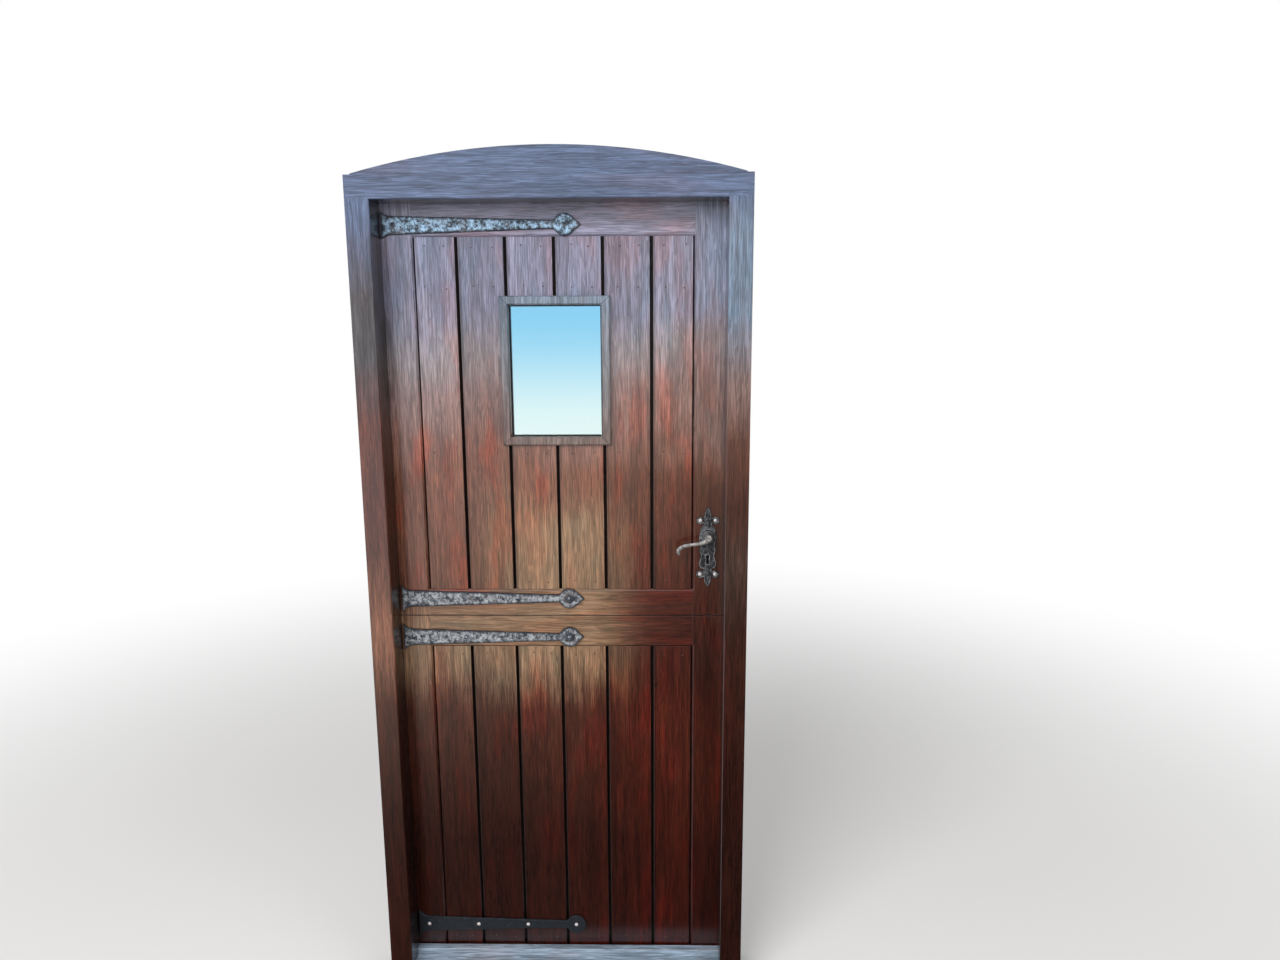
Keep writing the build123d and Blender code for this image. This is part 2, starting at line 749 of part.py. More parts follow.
def handle_plate(y_face, way):
    # Cast plate with waved sides, a fleur-de-lis at each end and a stepped boss round the lever's
    # neck; y_face is the leaf's face it lies on, and way is -1 outside and 1 inside
    half = plate_height / 2
    right = plate_waves
    left = [(-width, z) for width, z in reversed(plate_waves)]
    with BuildPart() as plate:
        with BuildSketch(face_plane(y_face, spindle_x, plate_z)):
            with BuildLine():
                Spline(*right)
                Line(right[-1], left[0])
                Spline(*left)
                Line(left[-1], right[0])
            make_face()
            for end in (-1, 1):
                with BuildLine():
                    low, belly, tip = (end * z for z in (lobe_height, lobe_height + spear_belly, half))
                    ThreePointArc((-spear_root, low), (-spear_radius, belly), (0, tip))
                    ThreePointArc((0, tip), (spear_radius, belly), (spear_root, low))
                    Line((spear_root, low), (-spear_root, low))
                make_face()
                with Locations((-lobe_reach, end * lobe_height), (lobe_reach, end * lobe_height)):
                    Circle(lobe_radius)
                with Locations((0, end * (lobe_height + petal_rise))):
                    Rectangle(2 * lobe_reach, petal_width)
                wave_end = right[0][1] if end > 0 else right[-1][1]
                with Locations((0, (wave_end + end * lobe_height) / 2)):
                    Rectangle(plate_waist, abs(end * lobe_height - wave_end))
        extrude(amount=-way * plate_thickness)
        corners = plate.edges().filter_by(Axis.Y)
        corners = corners.filter_by(lambda e: abs(e.center().Z - plate_z) < half - plate_bevel)
        corners = corners.filter_by(lambda e: abs(e.center().X - spindle_x) < lobe_reach)
        fillet(corners, radius=plate_corner)
        rim = plate.faces().sort_by(Axis.Y)[-1 if way > 0 else 0].outer_wire().edges()
        chamfer(rim, length=plate_bevel)
        with BuildSketch(Plane((spindle_x, y_face, spindle_z))):
            with BuildLine():
                steps = [(radius, way * (plate_thickness + rise)) for radius, rise in boss_steps]
                Polyline((0, 0), (steps[0][0], 0), *steps, (0, steps[-1][1]), close=True)
            make_face()
        revolve(axis=Axis((spindle_x, y_face, spindle_z), (0, 1, 0)))
        with Locations(Plane((spindle_x, y_face, spindle_z), z_dir=(0, 1, 0))):
            Cylinder(neck_radius + neck_clearance, 2 * neck_length, mode=Mode.SUBTRACT)
        add(keyhole_slot(y_face - plate_thickness * 2, y_face + plate_thickness * 2), mode=Mode.SUBTRACT)
        add(upper_screws.part, mode=Mode.SUBTRACT)
    return plate


outside_plate = handle_plate(leaf_front, -1)
finish(outside_plate, "outside_plate")
inside_plate = handle_plate(frame_depth, 1)
finish(inside_plate, "inside_plate")

# Lever: neck on the square spindle, then an arm that leaves it low, tapers, and swells and curls down
# at its tip. Each station of the arm is its run along X and Z from the spindle and its half height
lever_stations = ((0, -4, 7), (-15, -12.5, 5.4), (-33, -16, 4.4), (-50, -18.5, 4.2), (-66, -24, 4.8),
                  (-75.5, -33, 5.6), (-72, -42, 3.6))
neck_start = leaf_front - neck_face_gap
arm_y = neck_start - neck_length + lever_arm_depth
with BuildPart() as outside_lever:
    with Locations(Plane((spindle_x, neck_start, spindle_z), z_dir=(0, -1, 0))):
        Cylinder(neck_radius, neck_length, align=(Align.CENTER, Align.CENTER, Align.MIN))
    neck_rim = outside_lever.faces().sort_by(Axis.Y)[0].edges()
    fillet(neck_rim, radius=neck_round)
    with BuildLine() as arm_path:
        Spline(*[(spindle_x + dx, arm_y, spindle_z + dz) for dx, dz, _ in lever_stations])
    arm = arm_path.wires()[0]
    for i, (_, _, radius) in enumerate(lever_stations):
        share = i / (len(lever_stations) - 1)
        with BuildSketch(Plane(arm.position_at(share), x_dir=(0, 1, 0), z_dir=arm.tangent_at(share))):
            Ellipse(radius * lever_flatness, radius)
    loft()
    add(spindle.part, mode=Mode.SUBTRACT)
finish(outside_lever, "outside_lever")

with BuildPart() as inside_lever:
    add(outside_lever.part)
    mirror(about=Plane.XZ.offset(-leaf_middle), mode=Mode.REPLACE)
finish(inside_lever, "inside_lever")


def stile(side, low, high, members, recess, cuts):
    # Upright of a leaf, grooved for the outer board and mortised for the rails and ledges
    inner, outer = side * panel_half, side * leaf_half
    groove_end = inner + side * (tongue_length + tongue_end_gap)
    with BuildPart() as piece:
        bar((min(inner, outer), leaf_front, low), (max(inner, outer), frame_depth, high))
        groove_run = tongue_length + tongue_end_gap
        bar((min(inner, groove_end), tongue_front, members["panel"][0] - groove_run),
            (max(inner, groove_end), tongue_back, members["panel"][1] + groove_run), mode=Mode.SUBTRACT)
        for rail_low, rail_high in members["rails"]:
            end = inner + side * (rail_tenon_length + tenon_end_gap)
            bar((min(inner, end), tenon_front, rail_low + rail_tenon_inset),
                (max(inner, end), tenon_back, rail_high - rail_tenon_inset), mode=Mode.SUBTRACT)
        for ledge_low, ledge_high in members["ledges"]:
            end = inner + side * (ledge_tenon + tenon_end_gap)
            bar((min(inner, end), tenon_front, ledge_low + rail_tenon_inset),
                (max(inner, end), tenon_back, ledge_high - rail_tenon_inset), mode=Mode.SUBTRACT)
        add(recess, mode=Mode.SUBTRACT)
        for cut in cuts:
            add(cut, mode=Mode.SUBTRACT)
    return piece


with BuildPart() as lock_bores:
    with Locations(Plane((spindle_x, leaf_middle, spindle_z), z_dir=(0, 1, 0))):
        Cylinder(spindle_bore_radius, leaf_thickness)
    with Locations(Plane((spindle_x, leaf_middle, key_z), z_dir=(0, 1, 0))):
        Cylinder(key_bore_radius, leaf_thickness)
    with Locations(Plane((spindle_x, leaf_middle, key_z - keyhole_height / 2), z_dir=(0, 1, 0))):
        Cylinder(key_bore_radius, leaf_thickness)

window_ledges = [(window_z - opening_half_z - window_ledge_height, window_z - opening_half_z),
                 (window_z + opening_half_z, window_z + opening_half_z + window_ledge_height)]
upper_members = {"panel": upper_panel, "ledges": window_ledges,
                 "rails": [(upper_bottom, upper_panel[0]), (upper_panel[1], leaf_top)]}
lower_members = {"panel": lower_panel, "ledges": [(foot_low, foot_low + foot_ledge_height)],
                 "rails": [(lower_panel[1], lower_top)]}
stiles = {
    "upper_hinge_stile": stile(-1, upper_bottom, leaf_top, upper_members, upper_recess,
                               [flaps["upper_hinge_flaps"], upper_screws.part]),
    "upper_lock_stile": stile(1, upper_bottom, leaf_top, upper_members, upper_recess,
                              [lock_body.part, lock_bores.part, upper_screws.part]),
    "lower_hinge_stile": stile(-1, leaf_bottom, lower_top, lower_members, lower_recess,
                               [flaps["lower_hinge_flaps"], lower_screws.part]),
    "lower_lock_stile": stile(1, leaf_bottom, lower_top, lower_members, lower_recess, [lower_screws.part]),
}
for name, piece in stiles.items():
    finish(piece, name)

# Window: sealed unit between mitred beads
with BuildPart() as glazing_unit:
    bar((-opening_half_x + glass_edge_gap, glass_front, window_z - opening_half_z + glass_edge_gap),
        (opening_half_x - glass_edge_gap, glass_back, window_z + opening_half_z - glass_edge_gap))
finish(glazing_unit, "glazing_unit")


def mitred_bead(inward, section, half_length, offset, width):
    # One side of a bead frame: section is drawn as (distance inwards, Y), and inward points at the glass
    away = Vector(0, 0, window_z) - Vector(inward[0], 0, inward[1]) * offset
    inward3 = Vector(inward[0], 0, inward[1])
    along = inward3.cross(Vector(0, 1, 0))
    with BuildPart() as bead:
        with BuildSketch(Plane(away, x_dir=inward3, z_dir=along)):
            with BuildLine():
                Polyline(*section, close=True)
            make_face()
        extrude(amount=half_length, both=True)
        corners = [away + along * half_length, away - along * half_length,
                   away + inward3 * width - along * (half_length - width),
                   away + inward3 * width + along * (half_length - width)]
        with BuildSketch(face_plane(0)):
            with BuildLine():
                Polyline(*[(c.X, c.Z) for c in corners], close=True)
            make_face()
        extrude(amount=-2 * frame_depth, mode=Mode.INTERSECT)
    return bead.part


bead_front = board_front - bead_proud
outer_section = ((0, board_front), (0, bead_front + bead_bevel), (bead_bevel, bead_front),
                 (bead_width - bead_bevel, bead_front), (bead_width, bead_front + bead_bevel),
                 (bead_width, glass_front), (bead_cover, glass_front), (bead_cover, board_front))
inner_width = bead_width - bead_cover
inner_section = ((0, glass_back), (0, frame_depth), (inner_width - bead_bevel, frame_depth),
                 (inner_width, frame_depth - bead_bevel), (inner_width, glass_back))
outer_half_x, outer_half_z = sight_width / 2 + bead_width, sight_height / 2 + bead_width
bead_frames = (("outer_beads", outer_section, bead_width, outer_half_x, outer_half_z),
               ("inner_beads", inner_section, inner_width, opening_half_x, opening_half_z))
for name, section, width, half_x, half_z in bead_frames:
    with BuildPart() as beads:
        for side in (-1, 1):
            add(mitred_bead((0, side), section, half_x, half_z, width))
            add(mitred_bead((side, 0), section, half_z, half_x, width))
    finish(beads, name)


def strap_front(strap, screws):
    # Wrought strap: fishtail at the hinge side, tapering body, then a spear or a round end
    head_radius = strap_head / 2
    tail_end = strap_start + strap_tail_length
    tail, body, neck = strap["tail"] / 2, strap_body / 2, strap_neck / 2
    head_x = strap_start + strap["reach"]
    neck_x = head_x - sqrt(head_radius ** 2 - neck ** 2)
    with BuildPart() as piece:
        with BuildSketch(face_plane(leaf_front, 0, strap["z"])) as outline:
            with BuildLine():
                SagittaArc((strap_start, tail), (tail_end, body), -strap_tail_bow)
                Polyline((tail_end, body), (neck_x, neck), (head_x, neck),
                         (head_x, -neck), (neck_x, -neck), (tail_end, -body))
                SagittaArc((tail_end, -body), (strap_start, -tail), -strap_tail_bow)
                Line((strap_start, -tail), (strap_start, tail))
            make_face()
            with Locations((head_x, 0)):
                Circle(head_radius)
            if strap["point"]:
                touch_x = head_radius ** 2 / strap["point"]
                touch_z = sqrt(head_radius ** 2 - touch_x ** 2)
                with BuildLine():
                    Polyline((head_x, 0), (head_x + touch_x, touch_z), (head_x + strap["point"], 0),
                             (head_x + touch_x, -touch_z), close=True)
                make_face()
            roots = outline.vertices().filter_by(
                lambda v: min(abs(v.X - neck_x), abs(v.X - tail_end)) < strap_edge_round)
            fillet(roots, radius=strap_neck_fillet)
        extrude(amount=strap_thickness)
        rim = piece.faces().sort_by(Axis.Y)[0].outer_wire().edges()
        chamfer(rim, length=strap_edge_round)
        if strap["boss"]:
            with BuildSketch(face_plane(leaf_front - strap_thickness, head_x, strap["z"])):
                Circle(strap_boss_radius)
                Circle(dome_radius + strap_boss_gap, mode=Mode.SUBTRACT)
            extrude(amount=strap_boss_height)
        add(screws, mode=Mode.SUBTRACT)
    return piece


for names, screws in ((upper_straps, upper_screws), (lower_straps, lower_screws)):
    for name in names:
        strap_piece = strap_front(straps[name], screws.part)
        finish(strap_piece, name)


def staple(plane, start):
    # Bridge over a bolt, standing on its back plate; start is how far along the bolt it begins
    width = 2 * (bolt_radius + staple_wall)
    with BuildPart() as loop:
        with BuildSketch(plane.offset(start)):
            with Locations((0, -bolt_axis_rise / 2)):
                Rectangle(width, bolt_axis_rise)
            Circle(width / 2)
            Circle(bolt_radius + bolt_bore_gap, mode=Mode.SUBTRACT)
        extrude(amount=staple_length)
    return loop.part


def bolt_base(plane, length, guides):
    # Back plate with its staples; plane is at the plate's end on the bolt's axis, and looks along the bolt
    with BuildPart() as base:
        with BuildSketch(plane):
            with Locations((0, -bolt_axis_rise + bolt_plate_thickness / 2)):
                Rectangle(bolt_plate_width, bolt_plate_thickness)
        extrude(amount=length)
        for start in guides:
            add(staple(plane, start))
    return base


def sliding_bolt(plane, length):
    # Round bolt with a ball knob at its near end
    with BuildPart() as bolt:
        with BuildSketch(plane):
            Circle(bolt_radius)
        extrude(amount=length)
        with Locations(plane.location):
            Sphere(bolt_knob_radius)
    return bolt


# One bolt joins the leaves, and one holds the lower leaf to the jamb. Each plane stands on the edge
# of the leaf that carries the bolt and looks along it, and shot, the bolt's tip clears the keep
base_guides = (bolt_guide_inset, bolt_base_length - staple_length - bolt_guide_inset)
keep_guide = (bolt_keep_length - staple_length) / 2
join_edge = Plane((join_bolt_x, bolt_y, upper_bottom), x_dir=(-1, 0, 0), z_dir=(0, 0, -1))
foot_edge = Plane((leaf_half, bolt_y, lower_top - foot_bolt_drop), x_dir=(0, 0, -1), z_dir=(1, 0, 0))
for name, edge, gap in (("join_bolt", join_edge, split_gap), ("foot_bolt", foot_edge, edge_gap)):
    keep_start = gap + bolt_edge_gap
    tip = keep_start + keep_guide + staple_length + bolt_overrun - bolt_travel
    knob = -bolt_edge_gap - bolt_base_length - bolt_knob_lead
    base = bolt_base(edge.offset(-bolt_edge_gap - bolt_base_length), bolt_base_length, base_guides)
    finish(base, f"{name}_base")
    keep = bolt_base(edge.offset(keep_start), bolt_keep_length, (keep_guide,))
    finish(keep, f"{name}_keep")
    bolt = sliding_bolt(edge.offset(knob), tip - knob)
    finish(bolt, name)
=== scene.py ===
import math
import random

import bmesh
import bpy
from mathutils import Matrix, Vector, noise
from mathutils.kdtree import KDTree


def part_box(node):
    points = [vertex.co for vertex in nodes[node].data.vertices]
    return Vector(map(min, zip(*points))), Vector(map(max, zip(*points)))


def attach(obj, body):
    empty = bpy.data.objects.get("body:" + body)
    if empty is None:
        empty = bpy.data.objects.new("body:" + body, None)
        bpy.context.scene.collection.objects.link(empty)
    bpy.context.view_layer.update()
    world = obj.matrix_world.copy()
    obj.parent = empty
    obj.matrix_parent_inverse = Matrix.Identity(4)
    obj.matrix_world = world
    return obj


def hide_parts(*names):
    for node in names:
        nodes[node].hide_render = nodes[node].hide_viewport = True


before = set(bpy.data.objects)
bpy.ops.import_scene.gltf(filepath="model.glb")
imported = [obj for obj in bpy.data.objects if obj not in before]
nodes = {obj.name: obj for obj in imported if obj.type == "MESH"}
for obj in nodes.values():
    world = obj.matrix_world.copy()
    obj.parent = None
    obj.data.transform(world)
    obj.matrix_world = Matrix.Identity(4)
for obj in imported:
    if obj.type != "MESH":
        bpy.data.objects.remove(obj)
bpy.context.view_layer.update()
print("frame loaded,", len(nodes), "nodes")

scene = bpy.context.scene
scene.view_settings.view_transform = "Standard"


# shader helpers

def startMaterial(name):
    material = bpy.data.materials.new(name)
    material.use_nodes = True
    tree = material.node_tree
    return material, tree, tree.nodes["Principled BSDF"]


def addNode(tree, kind, settings=None, inputs=None):
    node = tree.nodes.new(kind)
    for key, value in (settings or {}).items():
        setattr(node, key, value)
    for key, value in (inputs or {}).items():
        if isinstance(value, bpy.types.NodeSocket):
            tree.links.new(value, node.inputs[key])
        else:
            node.inputs[key].default_value = value
    return node


def math2(tree, operation, a, b=0.0, clamp=False):
    settings = {"operation": operation, "use_clamp": clamp}
    return addNode(tree, "ShaderNodeMath", settings, {0: a, 1: b}).outputs[0]


def times(tree, a, b):
    return math2(tree, "MULTIPLY", a, b)


def plus(tree, a, b):
    return math2(tree, "ADD", a, b)


def minus(tree, a, b):
    return math2(tree, "SUBTRACT", a, b)


def blendColour(tree, share, a, b, mode="MIX"):
    node = addNode(tree, "ShaderNodeMix", {"data_type": "RGBA", "blend_type": mode}, {0: share})
    for socket, value in ((node.inputs[6], a), (node.inputs[7], b)):
        if isinstance(value, bpy.types.NodeSocket):
            tree.links.new(value, socket)
        else:
            socket.default_value = (*value, 1) if len(value) == 3 else value
    return node.outputs[2]


def spread(tree, value, low, high, outLow=0.0, outHigh=1.0):
    return addNode(tree, "ShaderNodeMapRange", {"interpolation_type": "SMOOTHSTEP"},
                   {"Value": value, "From Min": low, "From Max": high, "To Min": outLow,
                    "To Max": outHigh}).outputs[0]


def noiseTexture(tree, vector, scale, detail, roughness=0.5):
    inputs = {"Vector": vector, "Scale": scale, "Detail": detail, "Roughness": roughness}
    return addNode(tree, "ShaderNodeTexNoise", None, inputs).outputs[0]


def stretched(tree, vector, scale):
    return addNode(tree, "ShaderNodeMapping", None, {"Vector": vector, "Scale": scale}).outputs[0]


def splitXYZ(tree, vector):
    return addNode(tree, "ShaderNodeSeparateXYZ", None, {0: vector}).outputs


def startGroup(name, inputs, outputs):
    group = bpy.data.node_groups.new(name, "ShaderNodeTree")
    for socketName, kind, value in inputs:
        socket = group.interface.new_socket(socketName, in_out="INPUT", socket_type=kind)
        if value is not None:
            socket.default_value = value
    for socketName, kind in outputs:
        group.interface.new_socket(socketName, in_out="OUTPUT", socket_type=kind)
    return group, group.nodes.new("NodeGroupInput"), group.nodes.new("NodeGroupOutput")


def useGroup(tree, group, inputs):
    return addNode(tree, "ShaderNodeGroup", {"node_tree": group}, inputs)


# wood grain: fine pores, streaks and knots, all drawn out along the Z of the vector it is given
grainLook = {
    # stretch, scale, detail, roughness
    "pores": ((1, 1, 0.030), 560, 3, 0.6), "streaks": ((1, 0.6, 0.045), 95, 4, 0.65),
    "broad": ((1, 0.6, 0.090), 30, 3, 0.6), "patch": ((1, 0.5, 0.28), 15, 4, 0.58),
    "knotStretch": (1, 1, 0.55), "knotScale": 8.5, "knotSize": (0.060, 0.018), "knotReach": (0.40, 0.03),
    "knotPull": 0.03, "rings": 70}


def makeGrainGroup():
    group, source, result = startGroup("woodGrain", [
        ("Vector", "NodeSocketVector", None), ("Board Width", "NodeSocketFloat", 0.117),
        ("Board Start", "NodeSocketFloat", 0.0), ("Knots", "NodeSocketFloat", 0.5)],
        [("Pores", "NodeSocketFloat"), ("Figure", "NodeSocketFloat"), ("Tone", "NodeSocketFloat"),
         ("Patch", "NodeSocketFloat"), ("Knot", "NodeSocketFloat"), ("Height", "NodeSocketFloat")])
    given = source.outputs
    x = splitXYZ(group, given["Vector"])[0]
    boardAt = math2(group, "DIVIDE", minus(group, x, given["Board Start"]), given["Board Width"])
    tone = addNode(group, "ShaderNodeTexWhiteNoise", {"noise_dimensions": "1D"},
                   {"W": math2(group, "FLOOR", boardAt)}).outputs["Value"]
    # each board has its own stretch of tree
    shift = addNode(group, "ShaderNodeCombineXYZ", None, {
        0: times(group, tone, 3.1), 1: times(group, tone, 7.7), 2: times(group, tone, 13.3)}).outputs[0]
    moved = addNode(group, "ShaderNodeVectorMath", {"operation": "ADD"},
                    {0: given["Vector"], 1: shift}).outputs[0]

    def drawnNoise(stretch, scale, detail, roughness):
        return noiseTexture(group, stretched(group, moved, stretch), scale, detail, roughness)
    pores = drawnNoise(*grainLook["pores"])
    streaks = drawnNoise(*grainLook["streaks"])
    broad = drawnNoise(*grainLook["broad"])
    patch = drawnNoise(*grainLook["patch"])
    # knots sit in loose cells, and the rings bend round them
    cells = addNode(group, "ShaderNodeTexVoronoi", {"feature": "F1"}, {
        "Vector": stretched(group, moved, grainLook["knotStretch"]), "Scale": grainLook["knotScale"]})
    fromKnot = cells.outputs["Distance"]
    chance = addNode(group, "ShaderNodeSeparateColor", None, {0: cells.outputs["Color"]}).outputs[0]
    present = math2(group, "LESS_THAN", chance, given["Knots"])
    near = times(group, spread(group, fromKnot, *grainLook["knotSize"]), present)
    pull = times(group, times(group, spread(group, fromKnot, *grainLook["knotReach"]), present),
                 grainLook["knotPull"])
    across = plus(group, plus(group, x, pull), times(group, broad, 0.16))
    rings = spread(group, math2(group, "FRACT", times(group, across, grainLook["rings"])), 0.05, 0.95)
    streaked = plus(group, times(group, streaks, 0.55), times(group, broad, 0.35))
    figure = plus(group, times(group, rings, 0.10), streaked)
    height = plus(group, times(group, pores, 0.6), times(group, figure, 0.4))
    made = {"Pores": pores, "Figure": figure, "Tone": tone, "Patch": patch, "Knot": near,
            "Height": height}
    for name, value in made.items():
        group.links.new(value, result.inputs[name])
    return group


# hammered or cast iron: dents, pits and rubbed high spots
gritLook = {
    # scale, detail, roughness
    "pits": (320, 4, 0.7), "patches": (70, 5, 0.75), "rust": (26, 3, 0.6),
    "pitFrom": (0.54, 0.62), "rubbedFrom": (0.52, 0.64), "rustFrom": (0.50, 0.66)}


def makeIronGroup():
    group, source, result = startGroup("hammeredIron", [
        ("Vector", "NodeSocketVector", None), ("Dent Scale", "NodeSocketFloat", 160.0),
        ("Wear", "NodeSocketFloat", 0.5)],
        [("Rubbed", "NodeSocketFloat"), ("Pit", "NodeSocketFloat"), ("Rust", "NodeSocketFloat"),
         ("Height", "NodeSocketFloat")])
    given = source.outputs
    dents = addNode(group, "ShaderNodeTexVoronoi", {"feature": "SMOOTH_F1"}, {
        "Vector": given["Vector"], "Scale": given["Dent Scale"], "Smoothness": 0.6})
    pits = noiseTexture(group, given["Vector"], *gritLook["pits"])
    patches = noiseTexture(group, given["Vector"], *gritLook["patches"])
    pit = spread(group, pits, *gritLook["pitFrom"])
    total = plus(group, times(group, patches, 0.6), times(group, pits, 0.4))
    rubbedAndSheen = spread(group, plus(group, total, times(group, given["Wear"], 0.2)), *gritLook["rubbedFrom"])
    rust = spread(group, noiseTexture(group, given["Vector"], *gritLook["rust"]), *gritLook["rustFrom"])
    height = minus(group, times(group, dents.outputs["Distance"], 0.9), times(group, pit, 0.5))
    for name, value in {"Rubbed": rubbedAndSheen, "Pit": pit, "Rust": rust, "Height": height}.items():
        group.links.new(value, result.inputs[name])
    return group


# rounded arrises: a mask that is 1 along the edges of a piece, for rubbed iron edges and for the painted
# highlight on wood edges
def makeEdgeGroup():
    group, source, result = startGroup("edgeWearAndHighlight", [
        ("Radius", "NodeSocketFloat", 0.0015), ("Sharpness", "NodeSocketFloat", 0.06)],
        [("Edge", "NodeSocketFloat")])
    given = source.outputs
    rounded = addNode(group, "ShaderNodeBevel", {"samples": 4}, {"Radius": given["Radius"]}).outputs[0]
    plain = addNode(group, "ShaderNodeNewGeometry").outputs["Normal"]
    same = addNode(group, "ShaderNodeVectorMath", {"operation": "DOT_PRODUCT"},
                   {0: rounded, 1: plain}).outputs["Value"]
    turned = math2(group, "SUBTRACT", 1.0, same, clamp=True)
    edge = math2(group, "DIVIDE", turned, given["Sharpness"], clamp=True)
    group.links.new(edge, result.inputs["Edge"])
    return group


woodGrain, hammeredIron, edgeWearAndHighlight = makeGrainGroup(), makeIronGroup(), makeEdgeGroup()

# woodstain: nearly black low on the door and coppery at waist height; above that a painted sky reflection
# makes it pale and slate grey
stainAndSheen = {
    "deep": (0.028, 0.0050, 0.0022), "mahogany": (0.050, 0.0125, 0.0065), "umber": (0.062, 0.031, 0.022),
    "russet": (0.100, 0.032, 0.020), "copper": (0.185, 0.073, 0.043), "rose": (0.240, 0.150, 0.135),
    "mauve": (0.262, 0.220, 0.232), "lavender": (0.228, 0.218, 0.292), "pewter": (0.060, 0.054, 0.057),
    "slate": (0.090, 0.124, 0.215), "sky": (0.160, 0.220, 0.305), "frost": (0.30, 0.38, 0.47),
    "beadLow": (0.172, 0.122, 0.104), "beadMiddle": (0.180, 0.173, 0.184), "beadHigh": (0.157, 0.198, 0.252),
    "tan": (0.27, 0.165, 0.095), "joint": (0.005, 0.0025, 0.002)}
# height above the floor and the tone there, for each kind of piece; rose, mauve, lavender, slate, sky, frost
# and the bead's middle and high tones are painted sky reflection over the stain
leafStainAndSheen = ((0.36, "deep"), (0.62, "mahogany"), (0.95, "russet"), (1.38, "copper"), (1.57, "rose"),
            (1.69, "mauve"), (1.78, "lavender"))
leftStainAndSheen = ((0.55, "deep"), (0.80, "mahogany"), (0.94, "copper"), (1.04, "copper"), (1.18, "russet"),
            (1.50, "russet"), (1.66, "pewter"), (1.80, "pewter"), (1.98, "slate"))
rightStainAndSheen = ((0.60, "deep"), (0.95, "mahogany"), (1.16, "umber"), (1.30, "mahogany"), (1.46, "russet"),
             (1.60, "rose"), (1.76, "sky"), (1.95, "sky"), (2.04, "slate"))
headStainAndSheen = ((1.9, "slate"), (2.2, "slate"))
sillStainAndSheen = ((0.0, "pewter"), (0.03, "pewter"), (0.04, "frost"), (0.1, "frost"))
beadStainAndSheen = ((1.44, "beadLow"), (1.62, "beadMiddle"), (1.80, "beadHigh"))
rampHeight = 2.2


# the stain's colour, with the painted sky reflection high up, by height above the floor
def stainAndSheenColour(tree, level, tones):
    ramp = addNode(tree, "ShaderNodeValToRGB", None, {"Fac": math2(tree, "DIVIDE", level, rampHeight)})
    stops = ramp.color_ramp.elements
    while len(stops) < len(tones):
        stops.new(1.0)
    for stop, (height, tone) in zip(stops, tones):
        stop.position = height / rampHeight
        stop.color = (*stainAndSheen[tone], 1)
    return ramp.outputs[0]


# where the leaves' colour departs from the height ramp: a range runs from none to full, and a tint multiplies
zones = {
    "uneven": 0.22, "tanSheenUneven": (0.12, 0.14), "tanSheenFoot": (0.730, 0.895), "tanSheenTop": (1.36, 1.20),
    "tanSheenLock": (0.24, 0.08), "tanSheenHinge": (-0.26, -0.06), "hingeLevel": (0.98, 1.08, 0.85, 0.0),
    "tanSheenDepth": (0.098, 0.088), "tanSheenShare": 0.9,
    "lockSide": (0.02, 0.30), "lockTop": (1.50, 1.32), "lockFoot": (0.55, 0.85),
    "lockTint": (0.57, 0.37, 0.31),
    "emberSide": (0.0, 0.24), "emberTop": (0.95, 0.75), "emberTint": (1.50, 0.95, 0.62),
    "blueSide": (0.34, 0.38), "blueFoot": (1.60, 1.76), "blueTint": (1.12, 1.36, 1.42),
    "dullSide": (0.26, 0.0), "dullFoot": (1.60, 1.80), "dullTint": (0.84, 0.86, 0.90)}
# patches and grain, the painted highlight on the edges, painted shade in and along the joints, and the dark of
# the reveals
woodLook = {
    "redFrom": (0.50, 0.66), "redTint": (1.45, 0.72, 0.56), "redByHeight": (1.75, 1.35, 0.35, 0.80),
    "redOnFrame": 0.22, "greenFrom": (0.46, 0.34), "greenTint": (0.78, 0.95, 0.98),
    "figureShade": (0.38, 0.62, 0.66, 1.25), "poreShade": (0.42, 0.60, 0.68, 1.18),
    "toneShade": (0.0, 1.0, 0.88, 1.12), "knotShare": 0.75, "edgeHighlightShare": 0.7,
    "marginFrom": (0.0030, 0.0075, 0.38, 0.0), "jointDepth": (0.012, 0.009),
    "revealFrom": (0.002, 0.008), "revealTo": (0.082, 0.078), "revealSide": (0.4650, 0.4640),
    "revealTop": (0.014, 0.010), "revealShare": 0.8}
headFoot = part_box("head")[0][2]


# the leaves' own zones: a painted tan reflection of the wall over the middle boards and a darker lock side
def tintLeaf(tree, colour, place, wave, level, figure):
    x, y, z = place
    # painted reflection of the wall: a tan patch on the fronts of the middle boards, about 0.8 to 1.3 m up
    uneven = plus(tree, times(tree, figure, zones["tanSheenUneven"][0]),
                  times(tree, minus(tree, wave, 0.5), zones["tanSheenUneven"][1]))
    edgeLevel = minus(tree, plus(tree, z, uneven), zones["tanSheenUneven"][0] / 2)
    tanSheen = times(tree, spread(tree, edgeLevel, *zones["tanSheenFoot"]),
                  spread(tree, level, *zones["tanSheenTop"]))
    tanSheen = times(tree, tanSheen, spread(tree, x, *zones["tanSheenLock"]))
    nearHinge = spread(tree, z, *zones["hingeLevel"])
    tanSheen = times(tree, tanSheen, spread(tree, x, *zones["tanSheenHinge"], nearHinge, 1.0))
    tanSheen = times(tree, tanSheen, spread(tree, y, *zones["tanSheenDepth"]))
    colour = blendColour(tree, times(tree, tanSheen, zones["tanSheenShare"]), colour, stainAndSheen["tan"])
    lockSide = times(tree, spread(tree, x, *zones["lockSide"]), spread(tree, level, *zones["lockTop"]))
    lockSide = times(tree, lockSide, spread(tree, level, *zones["lockFoot"]))
    colour = blendColour(tree, lockSide, colour, zones["lockTint"], "MULTIPLY")
    # ember is an orange patch low on the lock side; blue turns the painted sky reflection bluer by the lock
    # edge, and dull darkens the painted sky reflection over the hinge half
    for side, height, tint in (("emberSide", "emberTop", "emberTint"), ("blueSide", "blueFoot", "blueTint"),
                               ("dullSide", "dullFoot", "dullTint")):
        share = times(tree, spread(tree, x, *zones[side]), spread(tree, level, *zones[height]))
        colour = blendColour(tree, share, colour, zones[tint], "MULTIPLY")
    return colour, tanSheen


